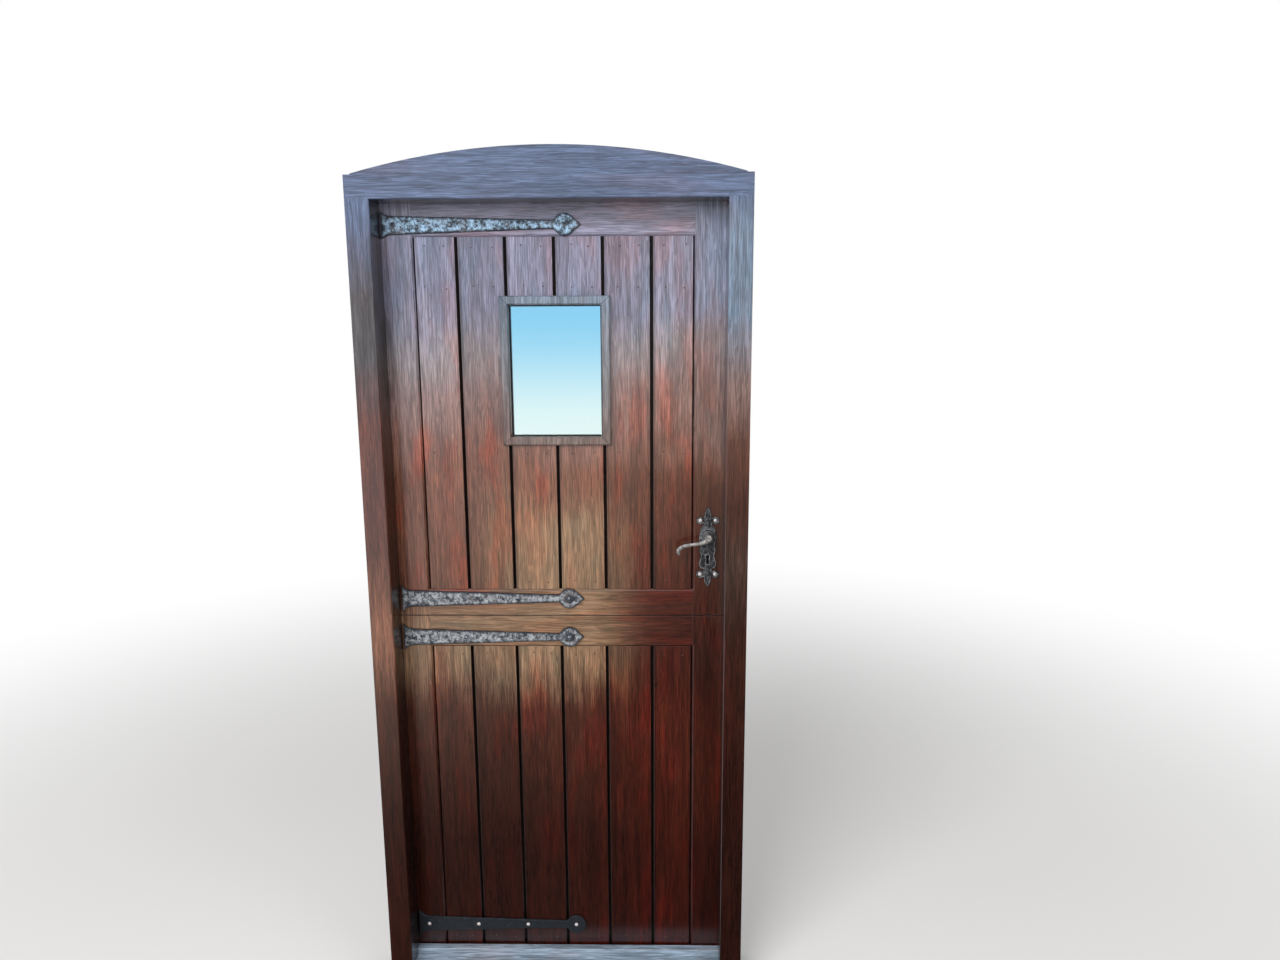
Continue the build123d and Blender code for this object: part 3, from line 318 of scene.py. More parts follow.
def makeWood(name, tones, turn=(0, 0, 0), boardWidth=0.1165, boardStart=-0.3450, knots=0.5, patched=True,
             recess=None, mitre=None, reveal=False):
    material, tree, shader = startMaterial(name)
    place = addNode(tree, "ShaderNodeTexCoord").outputs["Object"]
    along = addNode(tree, "ShaderNodeMapping", None, {"Vector": place, "Rotation": turn}).outputs[0]
    grain = useGroup(tree, woodGrain, {"Vector": along, "Board Width": boardWidth, "Board Start": boardStart,
                                       "Knots": knots}).outputs
    x, y, z = splitXYZ(tree, place)
    wave = noiseTexture(tree, place, 6, 3)
    level = plus(tree, z, times(tree, minus(tree, wave, 0.5), zones["uneven"]))
    colour = stainAndSheenColour(tree, level if patched else z, tones)
    vivid = woodLook["redOnFrame"]
    if patched:
        colour, tanSheen = tintLeaf(tree, colour, (x, y, z), wave, level, grain["Figure"])
        vivid = times(tree, spread(tree, z, *woodLook["redByHeight"]),
                      minus(tree, 1.0, times(tree, tanSheen, 0.65)))
    redder = times(tree, spread(tree, grain["Patch"], *woodLook["redFrom"]), vivid)
    colour = blendColour(tree, redder, colour, woodLook["redTint"], "MULTIPLY")
    greener = times(tree, spread(tree, grain["Patch"], *woodLook["greenFrom"]), 0.7 if patched else 0.3)
    colour = blendColour(tree, greener, colour, woodLook["greenTint"], "MULTIPLY")
    shade = times(tree, spread(tree, grain["Figure"], *woodLook["figureShade"]),
                  spread(tree, grain["Pores"], *woodLook["poreShade"]))
    shade = times(tree, shade, spread(tree, grain["Tone"], *woodLook["toneShade"]))
    colour = addNode(tree, "ShaderNodeHueSaturation", None, {"Value": shade, "Color": colour}).outputs[0]
    colour = blendColour(tree, times(tree, grain["Knot"], woodLook["knotShare"]), colour, stainAndSheen["joint"])
    # painted highlight: the wood is made lighter and paler along its rounded edges
    edge = useGroup(tree, edgeWearAndHighlight, {"Radius": 0.0014, "Sharpness": 0.12}).outputs[0]
    paintedHighlight = addNode(tree, "ShaderNodeHueSaturation", None, {
        "Value": 1.5, "Saturation": 0.7, "Color": colour}).outputs[0]
    colour = blendColour(tree, times(tree, edge, woodLook["edgeHighlightShare"]), colour, paintedHighlight)
    if recess:
        # painted shade in the joints and a band of painted shade along them
        boards = math2(tree, "DIVIDE", minus(tree, x, boardStart), boardWidth)
        share = math2(tree, "FRACT", boards)
        nearest = math2(tree, "MINIMUM", share, minus(tree, 1.0, share))
        margin = spread(tree, times(tree, nearest, boardWidth), *woodLook["marginFrom"])
        back, front = woodLook["jointDepth"]
        inJoint = times(tree, spread(tree, y, recess[0], recess[1]),
                        spread(tree, y, recess[1] + back, recess[1] + front))
        colour = blendColour(tree, math2(tree, "MAXIMUM", inJoint, margin), colour, stainAndSheen["joint"])
    if reveal:
        # the inner sides of the frame are in the dark of the opening
        inside = times(tree, spread(tree, y, *woodLook["revealFrom"]),
                       spread(tree, math2(tree, "ABSOLUTE", x), *woodLook["revealSide"]))
        inside = times(tree, inside, spread(tree, y, *woodLook["revealTo"]))
        top = [headFoot + rise for rise in woodLook["revealTop"]]
        inside = times(tree, inside, spread(tree, z, *top))
        colour = blendColour(tree, times(tree, inside, woodLook["revealShare"]), colour, stainAndSheen["joint"])
    if mitre:
        across = minus(tree, math2(tree, "ABSOLUTE", x), mitre["halfWidth"])
        up = minus(tree, math2(tree, "ABSOLUTE", minus(tree, z, mitre["middle"])), mitre["halfHeight"])
        offLine = math2(tree, "ABSOLUTE", minus(tree, across, up))
        line = spread(tree, offLine, mitre["gap"], mitre["gap"] * 0.5)
        colour = blendColour(tree, line, colour, stainAndSheen["joint"])
    tree.links.new(colour, shader.inputs["Base Color"])
    tree.links.new(spread(tree, grain["Pores"], 0.35, 0.7, 0.36, 0.52), shader.inputs["Roughness"])
    # a glossy coat of varnish over the stain
    shader.inputs["Specular IOR Level"].default_value = 0.15
    shader.inputs["Coat Weight"].default_value = 1.0
    shader.inputs["Coat Roughness"].default_value = 0.17
    shader.inputs["Coat IOR"].default_value = 1.6
    rounded = addNode(tree, "ShaderNodeBevel", {"samples": 4}, {"Radius": 0.0016}).outputs[0]
    bump = addNode(tree, "ShaderNodeBump", None, {
        "Strength": 0.40, "Distance": 0.0004, "Height": grain["Height"], "Normal": rounded}).outputs[0]
    for socket in ("Normal", "Coat Normal"):
        tree.links.new(bump, shader.inputs[socket])
    return material


quarter = math.pi / 2
beadLow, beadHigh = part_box("outer_beads")
mitre = {"halfWidth": beadHigh[0], "halfHeight": (beadHigh[2] - beadLow[2]) / 2,
         "middle": (beadHigh[2] + beadLow[2]) / 2, "gap": 0.0009}
stileWood = makeWood("stileStain", leafStainAndSheen, boardWidth=0.2, boardStart=-0.5, knots=0.2)
railWood = makeWood("railStain", leafStainAndSheen, turn=(0, quarter, 0), boardWidth=0.11, boardStart=0.0, knots=0.2)
boardWood = makeWood("boardStain", leafStainAndSheen, recess=(0.0791, 0.0798))
leftWood = makeWood("leftJambStain", leftStainAndSheen, boardWidth=0.2, boardStart=-0.5, knots=0.1,
                    patched=False, reveal=True)
rightWood = makeWood("rightJambStain", rightStainAndSheen, boardWidth=0.2, boardStart=-0.5, knots=0.1,
                     patched=False, reveal=True)
headWood = makeWood("headStain", headStainAndSheen, turn=(0, quarter, 0), boardWidth=0.09, boardStart=0.0,
                    knots=0.25, patched=False, reveal=True)
sillWood = makeWood("sillStain", sillStainAndSheen, turn=(0, quarter, 0), boardWidth=0.5, knots=0.1, patched=False)
beadWood = makeWood("beadStain", beadStainAndSheen, boardWidth=0.05, knots=0.0, patched=False, mitre=mitre)


ironLook = {"edgeRadius": 0.0012, "edgeSharpness": 0.25, "greyFrom": (1.2, 1.8), "rustShare": 0.30,
            "pitShare": 0.85, "pitShade": 0.6, "sideShade": (0.008, 0.008, 0.010), "sideShadeFrom": (0.88, 0.60),
            "roughSpan": 0.12, "bumpDistance": 0.0012}


# rubbed iron: relief and bevel name masks on the mesh; relief also carries a painted highlight on a plate's
# boss, and the bevel mask leaves painted shade along a strap's outline; the sides can take painted shade,
# greyBelow tints what is rubbed lower down, and a blue rubbed colour is a painted sky reflection
def makeIron(name, dark, rubbedAndSheen, wear, metallic, roughness, dentScale=160.0, bump=0.5, rust=None,
             relief=None, bevel=None, shadedSides=False, greyBelow=None):
    material, tree, shader = startMaterial(name)
    place = addNode(tree, "ShaderNodeTexCoord").outputs["Object"]
    iron = useGroup(tree, hammeredIron, {"Vector": place, "Dent Scale": dentScale, "Wear": wear}).outputs
    edge = useGroup(tree, edgeWearAndHighlight, {"Radius": ironLook["edgeRadius"],
                                     "Sharpness": ironLook["edgeSharpness"]}).outputs[0]
    bare = math2(tree, "MAXIMUM", iron["Rubbed"], times(tree, edge, 0.5 * wear))
    if relief:
        high = addNode(tree, "ShaderNodeAttribute", {"attribute_name": relief}).outputs["Fac"]
        bare = math2(tree, "MAXIMUM", times(tree, bare, 0.5), high)
    if bevel:
        flat = addNode(tree, "ShaderNodeAttribute", {"attribute_name": bevel}).outputs["Fac"]
        bare = times(tree, bare, flat)
    if greyBelow:
        height = splitXYZ(tree, place)[2]
        rubbedAndSheen = blendColour(tree, spread(tree, height, *ironLook["greyFrom"]), greyBelow, rubbedAndSheen)
    colour = blendColour(tree, bare, dark, rubbedAndSheen)
    if rust:
        colour = blendColour(tree, times(tree, iron["Rust"], ironLook["rustShare"]), colour, rust)
    colour = blendColour(tree, times(tree, iron["Pit"], ironLook["pitShare"]), colour,
                         tuple(c * ironLook["pitShade"] for c in dark))
    if shadedSides:
        # painted shade: faces that look sideways are darkened and kept from bare metal
        across = splitXYZ(tree, addNode(tree, "ShaderNodeNewGeometry").outputs["Normal"])[1]
        side = spread(tree, math2(tree, "ABSOLUTE", across), *ironLook["sideShadeFrom"])
        colour = blendColour(tree, side, colour, ironLook["sideShade"])
        bare = times(tree, bare, minus(tree, 1.0, side))
    rough = spread(tree, bare, 0.0, 1.0, roughness + ironLook["roughSpan"], roughness)
    bumped = addNode(tree, "ShaderNodeBump", None, {
        "Strength": bump, "Distance": ironLook["bumpDistance"], "Height": iron["Height"]}).outputs[0]
    wired = {"Base Color": colour, "Metallic": times(tree, bare, metallic), "Roughness": rough, "Normal": bumped}
    for socketName, value in wired.items():
        tree.links.new(value, shader.inputs[socketName])
    return material


# the straps' rubbed colour is a painted sky reflection, blue high up; greyBelow makes it grey lower down
wornIron = makeIron("wornIron", (0.020, 0.026, 0.036), (0.48, 0.71, 0.94), 0.40, 0.40, 0.36,
                    dentScale=230.0, rust=(0.17, 0.14, 0.13), bevel="flat", shadedSides=True,
                    greyBelow=(0.53, 0.56, 0.59))
plateIron = makeIron("plateIron", (0.010, 0.011, 0.013), (0.44, 0.45, 0.47), 0.20, 0.5, 0.34,
                     dentScale=420.0, relief="relief", shadedSides=True)
leverIron = makeIron("leverIron", (0.030, 0.032, 0.037), (0.52, 0.50, 0.47), 0.50, 0.6, 0.26,
                     dentScale=260.0, bump=0.25)
blackIron = makeIron("blackIron", (0.010, 0.013, 0.017), (0.05, 0.07, 0.09), 0.0, 0.3, 0.35,
                     dentScale=60.0, bump=0.15)
domeIron = makeIron("domeIron", (0.020, 0.024, 0.034), (0.42, 0.47, 0.54), 0.30, 0.4, 0.35,
                    dentScale=300.0, bump=0.2)


def makeSteel(name, tint, roughness, shadeFrom=None, metallic=1.0):
    material, tree, shader = startMaterial(name)
    place = addNode(tree, "ShaderNodeTexCoord").outputs["Object"]
    lines = noiseTexture(tree, stretched(tree, place, (1, 1, 0.05)), 900, 2)
    colour = blendColour(tree, lines, tuple(c * 0.8 for c in tint), tint)
    if shadeFrom:
        # japanned behind its bright front strip
        bright = spread(tree, splitXYZ(tree, place)[0], shadeFrom - 0.0004, shadeFrom)
        colour = blendColour(tree, bright, (0.008, 0.008, 0.009), colour)
        tree.links.new(bright, shader.inputs["Metallic"])
    else:
        shader.inputs["Metallic"].default_value = metallic
    tree.links.new(colour, shader.inputs["Base Color"])
    rough = spread(tree, lines, 0.3, 0.7, roughness, roughness + 0.12)
    tree.links.new(rough, shader.inputs["Roughness"])
    return material


zincSteel = makeSteel("zincSteel", (0.62, 0.62, 0.60), 0.30)
brightSteel = makeSteel("brightSteel", (0.80, 0.74, 0.72), 0.30, metallic=0.35)
# near black: painted shade on the lock's levers, seen through the keyhole
shadedLeverSteel = makeSteel("shadedLeverSteel", (0.05, 0.05, 0.055), 0.4)
lockSteel = makeSteel("lockSteel", (0.62, 0.62, 0.60), 0.30,
                      shadeFrom=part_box("lock_case")[1][0] - 0.003)
spacerSteel = makeSteel("spacerSteel", (0.72, 0.74, 0.76), 0.40)


# soft or filled things with a fine speckle
def makeSpeckle(name, dark, light, roughness, scale=700):
    material, tree, shader = startMaterial(name)
    place = addNode(tree, "ShaderNodeTexCoord").outputs["Object"]
    speckle = noiseTexture(tree, place, scale, 2)
    colour = blendColour(tree, spread(tree, speckle, 0.35, 0.65), dark, light)
    tree.links.new(colour, shader.inputs["Base Color"])
    shader.inputs["Roughness"].default_value = roughness
    return material


sealRubber = makeSpeckle("sealRubber", (0.02, 0.012, 0.01), (0.04, 0.025, 0.02), 0.7)
plugFiller = makeSpeckle("plugFiller", (0.030, 0.013, 0.010), (0.085, 0.045, 0.036), 0.45, scale=420)


# glass: the panes carry a painted sky reflection, a blue tint that is deeper at the top
glassLook = {"tintFrom": (1.47, 1.79), "low": (0.87, 0.97, 0.965), "high": (0.48, 0.79, 0.945),
             "roughness": 0.02, "ior": 1.5}


def makeGlass(name):
    material, tree, shader = startMaterial(name)
    place = addNode(tree, "ShaderNodeTexCoord").outputs["Object"]
    share = spread(tree, splitXYZ(tree, place)[2], *glassLook["tintFrom"])
    tint = blendColour(tree, share, glassLook["low"], glassLook["high"])
    tree.links.new(tint, shader.inputs["Base Color"])
    shader.inputs["Roughness"].default_value = glassLook["roughness"]
    shader.inputs["Transmission Weight"].default_value = 1.0
    shader.inputs["IOR"].default_value = glassLook["ior"]
    return material


skyGlass = makeGlass("skyGlass")
print("materials made")

finishes = {
    leftWood: ("left_jamb",), rightWood: ("right_jamb",), headWood: ("head", "arch_infill"),
    stileWood: ("upper_hinge_stile", "upper_lock_stile", "lower_hinge_stile", "lower_lock_stile"),
    railWood: ("top_rail", "upper_meeting_rail", "lower_meeting_rail", "window_framing", "foot_ledge",
               "brace"),
    boardWood: tuple(name for name in nodes if "_board_" in name),
    sillWood: ("sill",),
    beadWood: ("outer_beads", "inner_beads"),
    leverIron: ("outside_lever", "inside_lever"),
    blackIron: ("foot_strap", "join_bolt", "join_bolt_base", "join_bolt_keep", "foot_bolt",
                "foot_bolt_base", "foot_bolt_keep"),
    zincSteel: ("frame_hinge_flaps", "upper_hinge_flaps", "lower_hinge_flaps", "lock_keep", "spindle",
                "follower", "latch_bolt", "deadbolt"),
    lockSteel: ("lock_case",),
    sealRubber: ("draught_seal",),
}
for material, names in finishes.items():
    for name in names:
        nodes[name].data.materials.clear()
        nodes[name].data.materials.append(material)


# mesh helpers

def addPiece(name, mesh, materials):
    piece = bpy.data.objects.new(name, mesh)
    scene.collection.objects.link(piece)
    mesh.materials.clear()
    for material in materials:
        mesh.materials.append(material)
    return piece


# a solid's mesh with its loose triangles joined up
def mergedMesh(node):
    mesh = nodes[node].data.copy()
    body = bmesh.new()
    body.from_mesh(mesh)
    bmesh.ops.remove_doubles(body, verts=body.verts, dist=1e-6)
    body.to_mesh(mesh)
    body.free()
    return mesh


# the evaluated mesh takes the place of the modifiers
def settle(piece):
    mesh = bpy.data.meshes.new_from_object(piece.evaluated_get(bpy.context.evaluated_depsgraph_get()))
    piece.modifiers.clear()
    piece.data = mesh
    return mesh


def evenMesh(name, node, voxel, material):
    piece = addPiece(name, mergedMesh(node), [material])
    tool = piece.modifiers.new("evenMesh", "REMESH")
    tool.mode, tool.voxel_size, tool.use_smooth_shade = "VOXEL", voxel, True
    settle(piece)
    piece.data.materials.clear()
    piece.data.materials.append(material)
    return piece


# points along the outline of a flat piece, laid flat, for measuring how far away it is
def outlinePoints(node, spacing):
    solid = mergedMesh(node)
    spots = set()
    for face in solid.polygons:
        if abs(face.normal.y) < 0.3:
            for start, end in face.edge_keys:
                a, b = solid.vertices[start].co, solid.vertices[end].co
                steps = max(int(math.hypot(b.x - a.x, b.z - a.z) / spacing), 1)
                for step in range(steps + 1):
                    at = a.lerp(b, step / steps)
                    spots.add((round(at.x, 5), round(at.z, 5)))
    bpy.data.meshes.remove(solid)
    tree = KDTree(len(spots))
    for index, (x, z) in enumerate(sorted(spots)):
        tree.insert((x, 0, z), index)
    tree.balance()
    return tree


# forged straps: dented fronts, ragged edges, flat backs
strapLook = {"voxel": 0.0011, "dent": 0.00055, "dentSize": 0.0075, "grit": 0.00022, "gritSize": 0.0026,
             "ragged": 0.0009, "raggedSize": 0.009, "bevelFrom": 0.0014, "bevelTo": 0.0066,
             "bevelWave": 0.5, "bevelWaveSize": 0.007, "spacing": 0.0008}


def makeStrap(node, body):
    piece = evenMesh(node + "_forged", node, strapLook["voxel"], wornIron)
    mesh = piece.data
    outline = outlinePoints(node, strapLook["spacing"])
    # painted shade: within a few millimetres of the outline the metal is kept dark, with a wavering edge
    bevel = mesh.attributes.new("flat", "FLOAT", "POINT")
    flat = []
    for vertex in mesh.vertices:
        away = outline.find(Vector((vertex.co.x, 0, vertex.co.z)))[2]
        share = (away - strapLook["bevelFrom"]) / (strapLook["bevelTo"] - strapLook["bevelFrom"])
        wave = strapLook["bevelWave"] * noise.noise(vertex.co / strapLook["bevelWaveSize"])
        flat.append(min(max(share + wave, 0.0), 1.0))
    bevel.data.foreach_set("value", flat)
    normals = [vertex.normal.copy() for vertex in mesh.vertices]
    for vertex, normal in zip(mesh.vertices, normals):
        at = vertex.co.copy()
        if normal.y < -0.5:
            vertex.co.y += (strapLook["dent"] * abs(noise.noise(at / strapLook["dentSize"]))
                            + strapLook["grit"] * noise.noise(at / strapLook["gritSize"]))
        elif normal.y < 0.5:
            push = strapLook["ragged"] * noise.noise(at / strapLook["raggedSize"])
            vertex.co += Vector((normal.x, 0, normal.z)) * push
    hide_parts(node)
    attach(piece, body)


for node, body in (("top_strap", "upper_leaf"), ("split_strap", "upper_leaf"),
                   ("middle_strap", "lower_leaf")):
    makeStrap(node, body)
print("straps forged")

# cast plates: a raised rim follows the outline, the keyhole and the boss, on a hammered ground
plateLook = {"voxel": 0.00055, "rim": 0.0009, "rimWidth": 0.0019, "fall": 0.0012, "dent": 0.00035,
             "dentSize": 0.0042, "vein": 0.0006, "veinWidth": 0.0009, "veinFrom": 0.062, "veinShine": 0.7,
             "spacing": 0.0004, "bossShine": 0.45, "bossSize": 0.004, "level": 0.0008, "rubbedAndSheen": 0.42,
             "rubbedWave": 0.8, "rubbedSize": 0.005, "outsideFront": 0.073, "insideFront": 0.125}


def makePlate(node, body, front, outward):
    piece = evenMesh(node + "_cast", node, plateLook["voxel"], plateIron)
    mesh = piece.data
    outline = outlinePoints(node, plateLook["spacing"])
    low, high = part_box(node)
    middleX, middleZ = (low[0] + high[0]) / 2, (low[2] + high[2]) / 2
    relief = mesh.attributes.new("relief", "FLOAT", "POINT")
    raised = [0.0] * len(mesh.vertices)
    faces = [vertex.normal.y * outward for vertex in mesh.vertices]
    for index, vertex in enumerate(mesh.vertices):
        if faces[index] < 0.5 or (vertex.co.y - front) * outward < -plateLook["level"]:
            continue
        # painted highlight: the steps of the boss get a light share of metal
        if abs(vertex.co.y - front) > plateLook["level"]:
            shine = 0.6 + 0.8 * abs(noise.noise(vertex.co / plateLook["bossSize"]))
            raised[index] = plateLook["bossShine"] * shine
            continue
        away = outline.find(Vector((vertex.co.x, 0, vertex.co.z)))[2]
        share = 1.0 - min(max((away - plateLook["rimWidth"]) / plateLook["fall"], 0.0), 1.0)
        lift = plateLook["rim"] * share
        if abs(vertex.co.z - middleZ) > plateLook["veinFrom"]:
            vein = max(1.0 - abs(vertex.co.x - middleX) / plateLook["veinWidth"], 0.0)
            lift = max(lift, plateLook["vein"] * vein)
            share = max(share, plateLook["veinShine"] * vein)
        dent = abs(noise.noise(vertex.co / plateLook["dentSize"]))
        lift -= plateLook["dent"] * dent * (1.0 - 0.5 * share)
        wave = plateLook["rubbedWave"] * noise.noise(vertex.co / plateLook["rubbedSize"])
        raised[index] = share * max(plateLook["rubbedAndSheen"] + wave, 0.0)
        vertex.co.y += outward * lift
    relief.data.foreach_set("value", raised)
    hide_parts(node)
    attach(piece, body)


makePlate("outside_plate", "upper_leaf", plateLook["outsideFront"], -1)
makePlate("inside_plate", "upper_leaf", plateLook["insideFront"], 1)
print("plates cast")

# screws and filled nail holes, set out on points that carry the direction of their heads
screwSizes = {"Head Radius": 0.005, "Head Height": 0.0026, "Shank Radius": 0.002, "Length": 0.026,
              "Slot Width": 0.0}


def makeScrewTree():
    tree = bpy.data.node_groups.new("screwSet", "GeometryNodeTree")
    sockets = tree.interface
    sockets.new_socket("Geometry", in_out="INPUT", socket_type="NodeSocketGeometry")
    for name, value in screwSizes.items():
        sockets.new_socket(name, in_out="INPUT", socket_type="NodeSocketFloat").default_value = value
    sockets.new_socket("Seed", in_out="INPUT", socket_type="NodeSocketInt").default_value = 3
    sockets.new_socket("Material", in_out="INPUT", socket_type="NodeSocketMaterial")
    sockets.new_socket("Geometry", in_out="OUTPUT", socket_type="NodeSocketGeometry")
    given, result = tree.nodes.new("NodeGroupInput"), tree.nodes.new("NodeGroupOutput")
    size = given.outputs

    def add(kind, settings=None, inputs=None):
        return addNode(tree, kind, settings, inputs).outputs
    ball = add("GeometryNodeMeshUVSphere", None, {"Segments": 20, "Rings": 12, "Radius": 1.0})[0]
    domeScale = add("ShaderNodeCombineXYZ", None, {
        0: size["Head Radius"], 1: size["Head Radius"], 2: size["Head Height"]})[0]
    dome = add("GeometryNodeTransform", None, {"Geometry": ball, "Scale": domeScale})[0]
    shankPlace = add("ShaderNodeCombineXYZ", None, {2: times(tree, size["Length"], -0.5)})[0]
    rod = add("GeometryNodeMeshCylinder", None, {
        "Vertices": 12, "Radius": size["Shank Radius"], "Depth": size["Length"]})["Mesh"]
    shank = add("GeometryNodeTransform", None, {"Geometry": rod, "Translation": shankPlace})[0]
    slotSize = add("ShaderNodeCombineXYZ", None, {
        0: size["Slot Width"], 1: times(tree, size["Head Radius"], 1.7), 2: size["Head Height"]})[0]
    slotPlace = add("ShaderNodeCombineXYZ", None, {2: size["Head Height"]})[0]
    block = add("GeometryNodeMeshCube", None, {"Size": slotSize})["Mesh"]
    slot = add("GeometryNodeTransform", None, {"Geometry": block, "Translation": slotPlace})[0]
    cut = add("GeometryNodeMeshBoolean", {"operation": "DIFFERENCE"}, {"Mesh 1": dome, "Mesh 2": slot})
    slotted = add("FunctionNodeCompare", {"data_type": "FLOAT", "operation": "GREATER_THAN"},
                  {0: size["Slot Width"], 1: 0.0})[0]
    head = add("GeometryNodeSwitch", {"input_type": "GEOMETRY"},
               {"Switch": slotted, "False": dome, "True": cut["Mesh"]})[0]
    joined = tree.nodes.new("GeometryNodeJoinGeometry")
    for part in (shank, head):
        tree.links.new(part, joined.inputs[0])
    smooth = add("GeometryNodeSetShadeSmooth", None, {"Geometry": joined.outputs[0]})[0]
    axis = add("GeometryNodeInputNamedAttribute", {"data_type": "FLOAT_VECTOR"}, {"Name": "axis"})[0]
    facing = add("FunctionNodeAlignRotationToVector", {"axis": "Z"}, {"Vector": axis})[0]
    turn = add("FunctionNodeRandomValue", {"data_type": "FLOAT"}, {2: 0.0, 3: math.pi, 8: size["Seed"]})[1]
    spin = add("FunctionNodeAxisAngleToRotation", None, {"Axis": (0, 0, 1), "Angle": turn})[0]
    rotation = add("FunctionNodeRotateRotation", {"rotation_space": "LOCAL"},
                   {"Rotation": facing, "Rotate By": spin})[0]
    placed = add("GeometryNodeInstanceOnPoints", None, {
        "Points": size["Geometry"], "Instance": smooth, "Rotation": rotation})[0]
    real = add("GeometryNodeRealizeInstances", None, {"Geometry": placed})[0]
    painted = add("GeometryNodeSetMaterial", None, {"Geometry": real, "Material": size["Material"]})[0]
    tree.links.new(painted, result.inputs[0])
    return tree


screwTree = makeScrewTree()


# one mesh of screws: where holds (seat, direction of the head) pairs
def setScrews(where, material, seed, **sizes):
    mesh = bpy.data.meshes.new("seats")
    mesh.from_pydata([seat for seat, _ in where], [], [])
    axes = mesh.attributes.new("axis", "FLOAT_VECTOR", "POINT")
    axes.data.foreach_set("vector", [part for _, axis in where for part in axis])
    seats = addPiece("seats", mesh, [material])
    tool = seats.modifiers.new("screws", "NODES")
    tool.node_group = screwTree
    values = {**screwSizes, **sizes, "Seed": seed, "Material": material}
    for socket in screwTree.interface.items_tree:
        if socket.in_out == "INPUT" and socket.name in values:
            tool[socket.identifier] = values[socket.name]
    settled = settle(seats)
    bpy.data.objects.remove(seats)
    return settled


# several meshes joined as one piece: each takes its own material, or the last where there are fewer
def joinMeshes(name, meshes, materials):
    body = bmesh.new()
    for index, mesh in enumerate(meshes):
        start = len(body.faces)
        body.from_mesh(mesh)
        body.faces.ensure_lookup_table()
        for face in body.faces[start:]:
            face.material_index = index
        bpy.data.meshes.remove(mesh)
    joined = bpy.data.meshes.new(name)
    kinds = [min(face.material_index, len(materials) - 1) for face in body.faces]
    body.to_mesh(joined)
    body.free()
    piece = addPiece(name, joined, materials)
    joined.polygons.foreach_set("material_index", kinds)
    return piece


# the low and high corner of each separate solid of a node
def separateSolids(node):
    mesh = mergedMesh(node)
    body = bmesh.new()
    body.from_mesh(mesh)
    bpy.data.meshes.remove(mesh)
    seen, boxes = set(), []
    for first in body.verts:
        if first in seen:
            continue
        seen.add(first)
        queue, found = [first], []
        while queue:
            vertex = queue.pop()
            found.append(vertex.co.copy())
            for edge in vertex.link_edges:
                other = edge.other_vert(vertex)
                if other not in seen:
                    seen.add(other)
                    queue.append(other)
        boxes.append(tuple([pick(spot[i] for spot in found) for i in range(3)] for pick in (min, max)))
    body.free()
    return boxes


hingeGap = (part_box("frame_hinge_flaps")[0][0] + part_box("frame_hinge_flaps")[1][0]) / 2
# the handle's screws and those of the foot strap are bright
screwPlaces = {"domeDepth": 0.015, "brightFromX": 0.3, "brightBelowZ": 0.3, "flatHead": 0.0008}


# domes face the street, flat heads face the gap between leaf and jamb
def replaceScrews(node, body):
    kinds = {"dome": [], "bright": [], "flat": []}
    for low, high in separateSolids(node):
        x, y, z = [(a + b) / 2 for a, b in zip(low, high)]
        if high[1] - low[1] > screwPlaces["domeDepth"]:
            seat = (x, low[1] + screwSizes["Head Height"], z)
            bright = x > screwPlaces["brightFromX"] or z < screwPlaces["brightBelowZ"]
            kinds["bright" if bright else "dome"].append((seat, (0, -1, 0)))
        else:
            headAtHigh = abs(abs(high[0]) - abs(hingeGap)) < abs(abs(low[0]) - abs(hingeGap))
            end, out = (high[0], 1) if headAtHigh else (low[0], -1)
            kinds["flat"].append(((end - out * screwPlaces["flatHead"], y, z), (out, 0, 0)))
    meshes, materials = [], []
    for seed, (kind, material, sizes) in enumerate((
            ("dome", domeIron, {"Length": 0.020}), ("bright", brightSteel, {"Length": 0.016}),
            ("flat", zincSteel, {"Head Radius": 0.004, "Head Height": screwPlaces["flatHead"],
                                 "Slot Width": 0.0010}))):
        if kinds[kind]:
            meshes.append(setScrews(kinds[kind], material, seed + 5, **sizes))
            materials.append(material)
    piece = joinMeshes(node + "_set", meshes, materials)
    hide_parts(node)
    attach(piece, body)


for node, body in (("frame_screws", "frame"), ("upper_screws", "upper_leaf"),
                   ("lower_screws", "lower_leaf")):
    replaceScrews(node, body)
print("screws set")

# nail holes filled flush near the ends of the boards
plugs = {"inset": 0.021, "apart": 0.024, "stray": 0.004, "sunk": 0.0001, "seed": 11,
         "Head Radius": 0.0021, "Head Height": 0.0003, "Shank Radius": 0.0015, "Length": 0.002}


def fillNailHoles(name, body, boards, rails):
    draw = random.Random(plugs["seed"])
    where = []
    for board in boards:
        low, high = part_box(board)
        for rail, side in rails:
            level = rail + side * plugs["inset"]
            if low[2] < level < high[2]:
                for apart in (-plugs["apart"], plugs["apart"]):
                    x = (low[0] + high[0]) / 2 + apart + draw.uniform(-plugs["stray"], plugs["stray"])
                    z = level + draw.uniform(-plugs["stray"], plugs["stray"])
                    where.append(((x, low[1] + plugs["sunk"], z), (0, -1, 0)))
    sizes = {key: value for key, value in plugs.items() if key in screwSizes}
    piece = joinMeshes(name, [setScrews(where, plugFiller, plugs["seed"], **sizes)], [plugFiller])
    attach(piece, body)


fillNailHoles("upper_nail_plugs", "upper_leaf", [name for name in nodes if name.startswith("upper_board_")],
              ((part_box("upper_meeting_rail")[1][2], 1), (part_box("top_rail")[0][2], -1),
               (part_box("outer_beads")[0][2], -1), (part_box("outer_beads")[1][2], 1)))
fillNailHoles("lower_nail_plugs", "lower_leaf", [name for name in nodes if name.startswith("lower_board_")],
              ((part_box("lower_meeting_rail")[0][2], -1), (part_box("foot_ledge")[0][2], 1)))
print("nail holes filled")

# sealed unit: two panes on a spacer bar
unit = {"pane": 0.004, "bar": 0.0115, "round": 0.0004}


